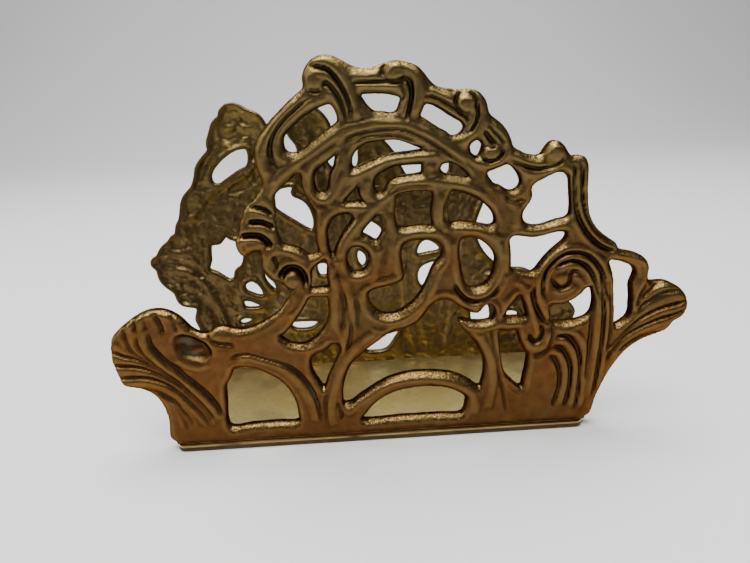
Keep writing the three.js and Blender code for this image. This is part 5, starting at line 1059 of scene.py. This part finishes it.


class Nodes:
    """Small helper to write a material's nodes as nested calls."""

    def __init__(self, name):
        self.material = bpy.data.materials.new(name)
        self.material.use_nodes = True
        self.tree = self.material.node_tree
        self.tree.nodes.clear()

    def add(self, kind, inputs=None, **settings):
        node = self.tree.nodes.new(kind)
        for key, value in settings.items():
            setattr(node, key, value)
        for key, value in (inputs or {}).items():
            if isinstance(value, bpy.types.NodeSocket):
                self.tree.links.new(value, node.inputs[key])
            else:
                node.inputs[key].default_value = value
        return node

    def position(self):
        return self.add("ShaderNodeTexCoord").outputs["Object"]

    def noise(self, scale, detail=4.0, rough=0.55):
        inputs = {"Vector": self.position(), "Scale": scale, "Detail": detail, "Roughness": rough}
        return self.add("ShaderNodeTexNoise", inputs).outputs["Fac"]

    def attribute(self, name):
        return self.add("ShaderNodeAttribute", attribute_name=name).outputs["Fac"]

    def math(self, operation, a, b=0.0):
        return self.add("ShaderNodeMath", {0: a, 1: b}, operation=operation).outputs[0]

    def remap(self, value, low, high, out_low=0.0, out_high=1.0):
        inputs = {"Value": value, "From Min": low, "From Max": high, "To Min": out_low,
                  "To Max": out_high}
        return self.add("ShaderNodeMapRange", inputs).outputs["Result"]

    def mix(self, factor, first, second):
        node = self.add("ShaderNodeMix", data_type="RGBA")
        for key, value in ((0, factor), (6, first), (7, second)):
            if isinstance(value, bpy.types.NodeSocket):
                self.tree.links.new(value, node.inputs[key])
            elif key == 0:
                node.inputs[key].default_value = value
            else:
                node.inputs[key].default_value = (*value, 1.0)
        return node.outputs[2]

    def bump(self, height, strength, distance, normal=None):
        inputs = {"Height": height, "Strength": strength, "Distance": distance}
        if normal is not None:
            inputs["Normal"] = normal
        return self.add("ShaderNodeBump", inputs).outputs["Normal"]

    def finish(self, colour, roughness, normal, metallic=1.0, glance=NEUTRAL_GLANCE):
        inputs = {"Base Color": colour, "Roughness": roughness, "Metallic": metallic,
                  "Normal": normal, "Specular Tint": (*glance, 1.0)}
        shader = self.add("ShaderNodeBsdfPrincipled", inputs)
        output = self.add("ShaderNodeOutputMaterial")
        self.tree.links.new(shader.outputs["BSDF"], output.inputs["Surface"])
        return self.material


def height_of_normal(n):
    """How far the surface faces up, from -1 to 1."""
    normal = n.add("ShaderNodeNewGeometry").outputs["Normal"]
    return n.add("ShaderNodeSeparateXYZ", {0: normal}).outputs["Z"]


def patina_and_painted_light(n, tones, rough_side, mottled):
    """Warm low down (partly painted reflection of a reddish surface below), olive higher, a lighter
    painted tone on the crown, painted reflected light inside the rack.
    """
    place = n.add("ShaderNodeSeparateXYZ", {0: n.position()})
    height = place.outputs["Z"]
    # Warmer low down, more olive higher up; the warm lower part is partly painted reflection of a reddish
    # surface below.
    climb = n.remap(height, *WARM_TO_OLIVE, -0.16, 0.16)
    patches = n.remap(n.math("ADD", n.noise(45.0, 5.0, 0.6), climb), 0.38, 0.62)
    base = n.mix(patches, tones["warm"], tones["olive"])
    # Painted reflected light on the inner faces, low down and in the middle of the rack.
    middle = n.remap(n.math("ABSOLUTE", place.outputs["X"]), *PAINTED_FILL_ACROSS)
    painted_fill = n.math("MULTIPLY", middle, n.remap(height, *PAINTED_FILL_UP))
    painted_fill = n.math("MULTIPLY", painted_fill, rough_side)
    base = n.mix(n.math("MULTIPLY", painted_fill, 0.8), base, PAINTED_FILL_INSIDE)
    # Painted light: a lighter tone at the top, on the crown.
    base = n.mix(n.remap(height, *PAINTED_CROWN_LIGHT), base, tones["crown"])
    return n.mix(n.math("MULTIPLY", mottled, 0.30), base, tones["dark"])


def wear_and_crease_patina_shade(n, base, tones, worked, mottled, grain):
    """Proud edges worn bright; creases darkened, partly by dark oxide and partly by painted shade, with a
    little verdigris in them.
    """
    exposure = n.attribute("exposure")
    worn = n.remap(n.math("ADD", exposure, n.remap(grain, 0.3, 0.7, -0.12, 0.12)), 0.15, 0.7)
    base = n.mix(n.math("MULTIPLY", worn, n.math("MULTIPLY", worked, 0.12)), base, tones["bright"])
    # Creases darkened: partly dark oxide, partly painted shade.
    crease = n.remap(n.math("ADD", exposure, n.remap(mottled, 0, 1, -0.06, 0.06)), -0.08, -0.5)
    base = n.mix(n.math("MULTIPLY", crease, n.math("MULTIPLY", worked, 0.60)), base, tones["dark"])
    verdigris = n.math("MULTIPLY", crease, n.remap(n.noise(70.0, 3.0), 0.58, 0.70, 0.0, 0.30))
    return n.mix(verdigris, base, tones["green"])


def painted_ledge_highlights(n, base, tones, top, grain):
    """Painted highlight, speckled, on the ledges that face up."""
    speckle = n.remap(n.noise(1500.0, 3.0, 0.6), 0.40, 0.62)
    speckle = n.math("MULTIPLY", speckle, n.remap(grain, 0.30, 0.55, 0.55, 1.0))
    # Painted highlight on the surfaces that face up near the edges.
    return n.mix(n.math("MULTIPLY", n.math("MULTIPLY", top, speckle), 0.85), base, tones["bright"])


def rough_cast(n, base, tones, rough_side, beside_edge):
    """Painted glints as bright flecks, and a dark border, on the rough side."""
    # Painted glints: bright flecks on the rough side.
    flecks = n.remap(n.noise(420.0, 6.0, 0.7), 0.58, 0.74, 0.0, 0.40)
    base = n.mix(n.math("MULTIPLY", flecks, rough_side), base, tones["bright"])
    border = n.math("MULTIPLY", n.remap(beside_edge, 0.25, 0.7, 0.0, 0.55), rough_side)
    return n.mix(border, base, tones["dark"])


def cast_brass(name, tones):
    """Aged cast brass: warm below, olive above, creases dark with oxide and painted shade, upward edges
    brightened by a painted highlight.
    """
    n = Nodes(name)
    worked, beside_edge = n.attribute("worked"), n.attribute("shoulder")
    rough_side = n.math("SUBTRACT", 1.0, worked)
    mottled = n.remap(n.noise(260.0, 4.0, 0.6), 0.35, 0.68)
    grain = n.noise(900.0, 3.0, 0.6)
    # Upward-facing surfaces near the edges: mask for the painted highlights, and for smoother, more
    # pitted tops.
    top = n.remap(height_of_normal(n), 0.14, 0.66)
    top = n.math("MULTIPLY", top, n.remap(beside_edge, 0.0, 0.6, 0.25, 1.0))
    base = patina_and_painted_light(n, tones, rough_side, mottled)
    base = wear_and_crease_patina_shade(n, base, tones, worked, mottled, grain)
    base = painted_ledge_highlights(n, base, tones, top, grain)
    base = rough_cast(n, base, tones, rough_side, beside_edge)
    roughness = n.remap(n.math("SUBTRACT", mottled, top), -1.0, 1.0, 0.20, 0.46)
    normal = n.bump(n.noise(420.0, 4.0, 0.6), n.remap(worked, 0, 1, 0.6, 0.35), 0.0005)
    pits = n.noise(1700.0, 3.0, 0.65)
    normal = n.bump(pits, n.remap(top, 0, 1, 0.30, 0.55), 0.0003, normal)
    return n.finish(base, roughness, normal, glance=BROWN_GLANCE)


def plate_brass():
    """Smooth brass plate: pale and clouded on top, its edges darkened with painted shade and a painted
    highlight along the arris.
    """
    n = Nodes("plate_brass")
    clouds = n.remap(n.noise(66.0, 5.0, 0.6), 0.39, 0.60)
    base = n.mix(clouds, (0.98, 0.84, 0.42), (0.52, 0.42, 0.15))
    spots = n.remap(n.noise(420.0, 3.0, 0.6), 0.60, 0.72)
    base = n.mix(n.math("MULTIPLY", spots, 0.18), base, (0.16, 0.12, 0.05))
    facing_up = height_of_normal(n)
    # Painted shade on the plate's sides and rounded edges, and a painted shadow on the strip beside the
    # castings.
    side = n.remap(facing_up, 0.99, 0.93)
    place = n.add("ShaderNodeSeparateXYZ", {0: n.position()})
    margin = n.remap(n.math("ABSOLUTE", place.outputs["Y"]), *PLATE_MARGIN)
    painted_edge_shade = n.mix(n.noise(300.0, 3.0), (0.10, 0.065, 0.030), (0.035, 0.022, 0.012))
    base = n.mix(n.math("MAXIMUM", side, margin), base, painted_edge_shade)
    # Painted highlight along the arris, where the rounded edge faces up at about 45 degrees.
    ridge = n.math("ABSOLUTE", n.math("SUBTRACT", facing_up, 0.60))
    arris = n.math("MULTIPLY", n.remap(ridge, 0.30, 0.16), n.remap(n.noise(60.0, 2.0), 0.30, 0.42))
    base = n.mix(arris, base, (0.95, 0.70, 0.26))
    inputs = {"Vector": n.position(), "Scale": (40.0, 900.0, 900.0)}
    stretched = n.add("ShaderNodeMapping", inputs).outputs[0]
    inputs = {"Vector": stretched, "Scale": 1.0, "Detail": 3.0}
    scratch = n.add("ShaderNodeTexNoise", inputs).outputs["Fac"]
    roughness = n.remap(clouds, 0, 1, 0.34, 0.50)
    normal = n.bump(scratch, 0.12, 0.0002)
    normal = n.bump(n.noise(60.0, 3.0), 0.15, 0.001, normal)
    return n.finish(base, roughness, normal)


def screw_brass():
    """Turned brass of the screws, dull with dark specks."""
    n = Nodes("screw_brass")
    specks = n.remap(n.noise(700.0, 3.0, 0.6), 0.45, 0.65)
    base = n.mix(specks, (0.48, 0.36, 0.16), (0.20, 0.14, 0.06))
    normal = n.bump(n.noise(1200.0, 2.0), 0.15, 0.0002)
    return n.finish(base, n.remap(specks, 0, 1, 0.3, 0.5), normal)


def floor_paint():
    """Plain pale matt floor."""
    n = Nodes("floor_paint")
    base = n.mix(n.noise(3.0, 2.0), (0.80, 0.80, 0.79), (0.84, 0.84, 0.83))
    normal = n.bump(n.noise(200.0, 2.0), 0.03, 0.0005)
    return n.finish(base, 0.7, normal, metallic=0.0)


def give(piece, material):
    """Puts a material on every slot of a piece."""
    if not piece.material_slots:
        piece.data.materials.append(material)
    for slot in piece.material_slots:
        slot.material = material


# ----------------------------------------------------------------------- pieces
def make_castings():
    """Both castings, standing on the plate."""
    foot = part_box("base_plate")[1][2] / MM
    front = casting("front_casting", flared(FRONT_OUTLINE), FRONT_OPENINGS, FRONT_STROKES,
                    FRONT_KNOBS, FRONT_HOLLOWS, foot, front_place, 11)
    give(front, cast_brass("front_patina_and_painted_light", FRONT_TONES))
    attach(front, "root")
    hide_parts("front_panel")
    rear = casting("rear_casting", REAR_OUTLINE, REAR_OPENINGS, REAR_STROKES, [], [], foot,
                   rear_place, 47)
    give(rear, cast_brass("rear_patina_and_painted_light", REAR_LIGHTENED_TONES))
    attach(rear, "root")
    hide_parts("rear_panel")


def finish_frame_parts():
    """Materials for the CAD parts that stay."""
    plate, screws = plate_brass(), screw_brass()
    for name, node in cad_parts.items():
        if name == "base_plate":
            give(node, plate)
        elif "screw" in name:
            give(node, screws)


def make_stage():
    """A pale floor that curves up into a backdrop well behind the rack."""
    reach, back, bend, high = 3.0, 1.5, 0.7, 2.2
    profile = [(-reach, 0.0), (back - bend, 0.0)]
    for k in range(1, 13):
        angle = math.pi / 2 * k / 12
        profile.append((back - bend + bend * math.sin(angle), bend * (1 - math.cos(angle))))
    profile.append((back, high))
    vertices = [(side * reach, y, z) for y, z in profile for side in (-1, 1)]
    faces = [(2 * k, 2 * k + 1, 2 * k + 3, 2 * k + 2) for k in range(len(profile) - 1)]
    stage = new_object("floor", np.array(vertices) / MM, faces)
    give(stage, floor_paint())


# -------------------------------------------------------------- light and camera
def area_light(name, at, target, size, power):
    """A rectangular lamp that faces its target."""
    data = bpy.data.lights.new(name, "AREA")
    data.shape = "RECTANGLE"
    data.size, data.size_y = size
    data.energy = power
    lamp = bpy.data.objects.new(name, data)
    bpy.context.scene.collection.objects.link(lamp)
    lamp.location = at
    aim = Vector(target) - lamp.location
    lamp.rotation_euler = aim.to_track_quat("-Z", "Y").to_euler()


def make_light():
    """A large soft lamp overhead, two weaker ones in front and at the left, and a pale room."""
    area_light("overhead", (-0.1, 0.10, 1.1), (0, 0, 0.05), (1.1, 0.8), 21.5)
    area_light("front_top", (0.0, -0.45, 0.95), (0, 0, 0.08), (0.9, 0.35), 5)
    area_light("left_window", (-1.2, -0.2, 0.7), (0, 0, 0.05), (0.5, 0.8), 6)
    world = bpy.data.worlds.new("soft_room")
    world.use_nodes = True
    world.node_tree.nodes["Background"].inputs["Color"].default_value = (0.92, 0.95, 1.0, 1)
    world.node_tree.nodes["Background"].inputs["Strength"].default_value = 0.22
    bpy.context.scene.world = world


CAMERA_AT = (-0.0063, -0.2113, 0.1159)
CAMERA_AZIMUTH, CAMERA_DOWN, CAMERA_ROLL = 1.94, 18.0, -2.58
LENS_MM, SENSOR_MM = 28.8, 36.0


def make_camera():
    """A camera in front of the rack, a little above it and tilted down."""
    az, el, roll = (math.radians(a) for a in (CAMERA_AZIMUTH, CAMERA_DOWN, CAMERA_ROLL))
    forward = np.array([math.sin(az) * math.cos(el), math.cos(az) * math.cos(el), -math.sin(el)])
    right = np.array([math.cos(az), -math.sin(az), 0.0])
    up = np.cross(right, forward)
    across = right * math.cos(roll) + up * math.sin(roll)
    above = -right * math.sin(roll) + up * math.cos(roll)
    data = bpy.data.cameras.new("camera")
    data.lens = LENS_MM
    data.sensor_width = SENSOR_MM
    data.clip_start = 0.01
    camera = bpy.data.objects.new("camera", data)
    bpy.context.scene.collection.objects.link(camera)
    turn = Matrix((across, above, -forward)).transposed().to_4x4()
    camera.matrix_world = Matrix.Translation(CAMERA_AT) @ turn
    bpy.context.scene.camera = camera


make_camera()
make_castings()
finish_frame_parts()
make_stage()
make_light()

bpy.context.view_layer.update()
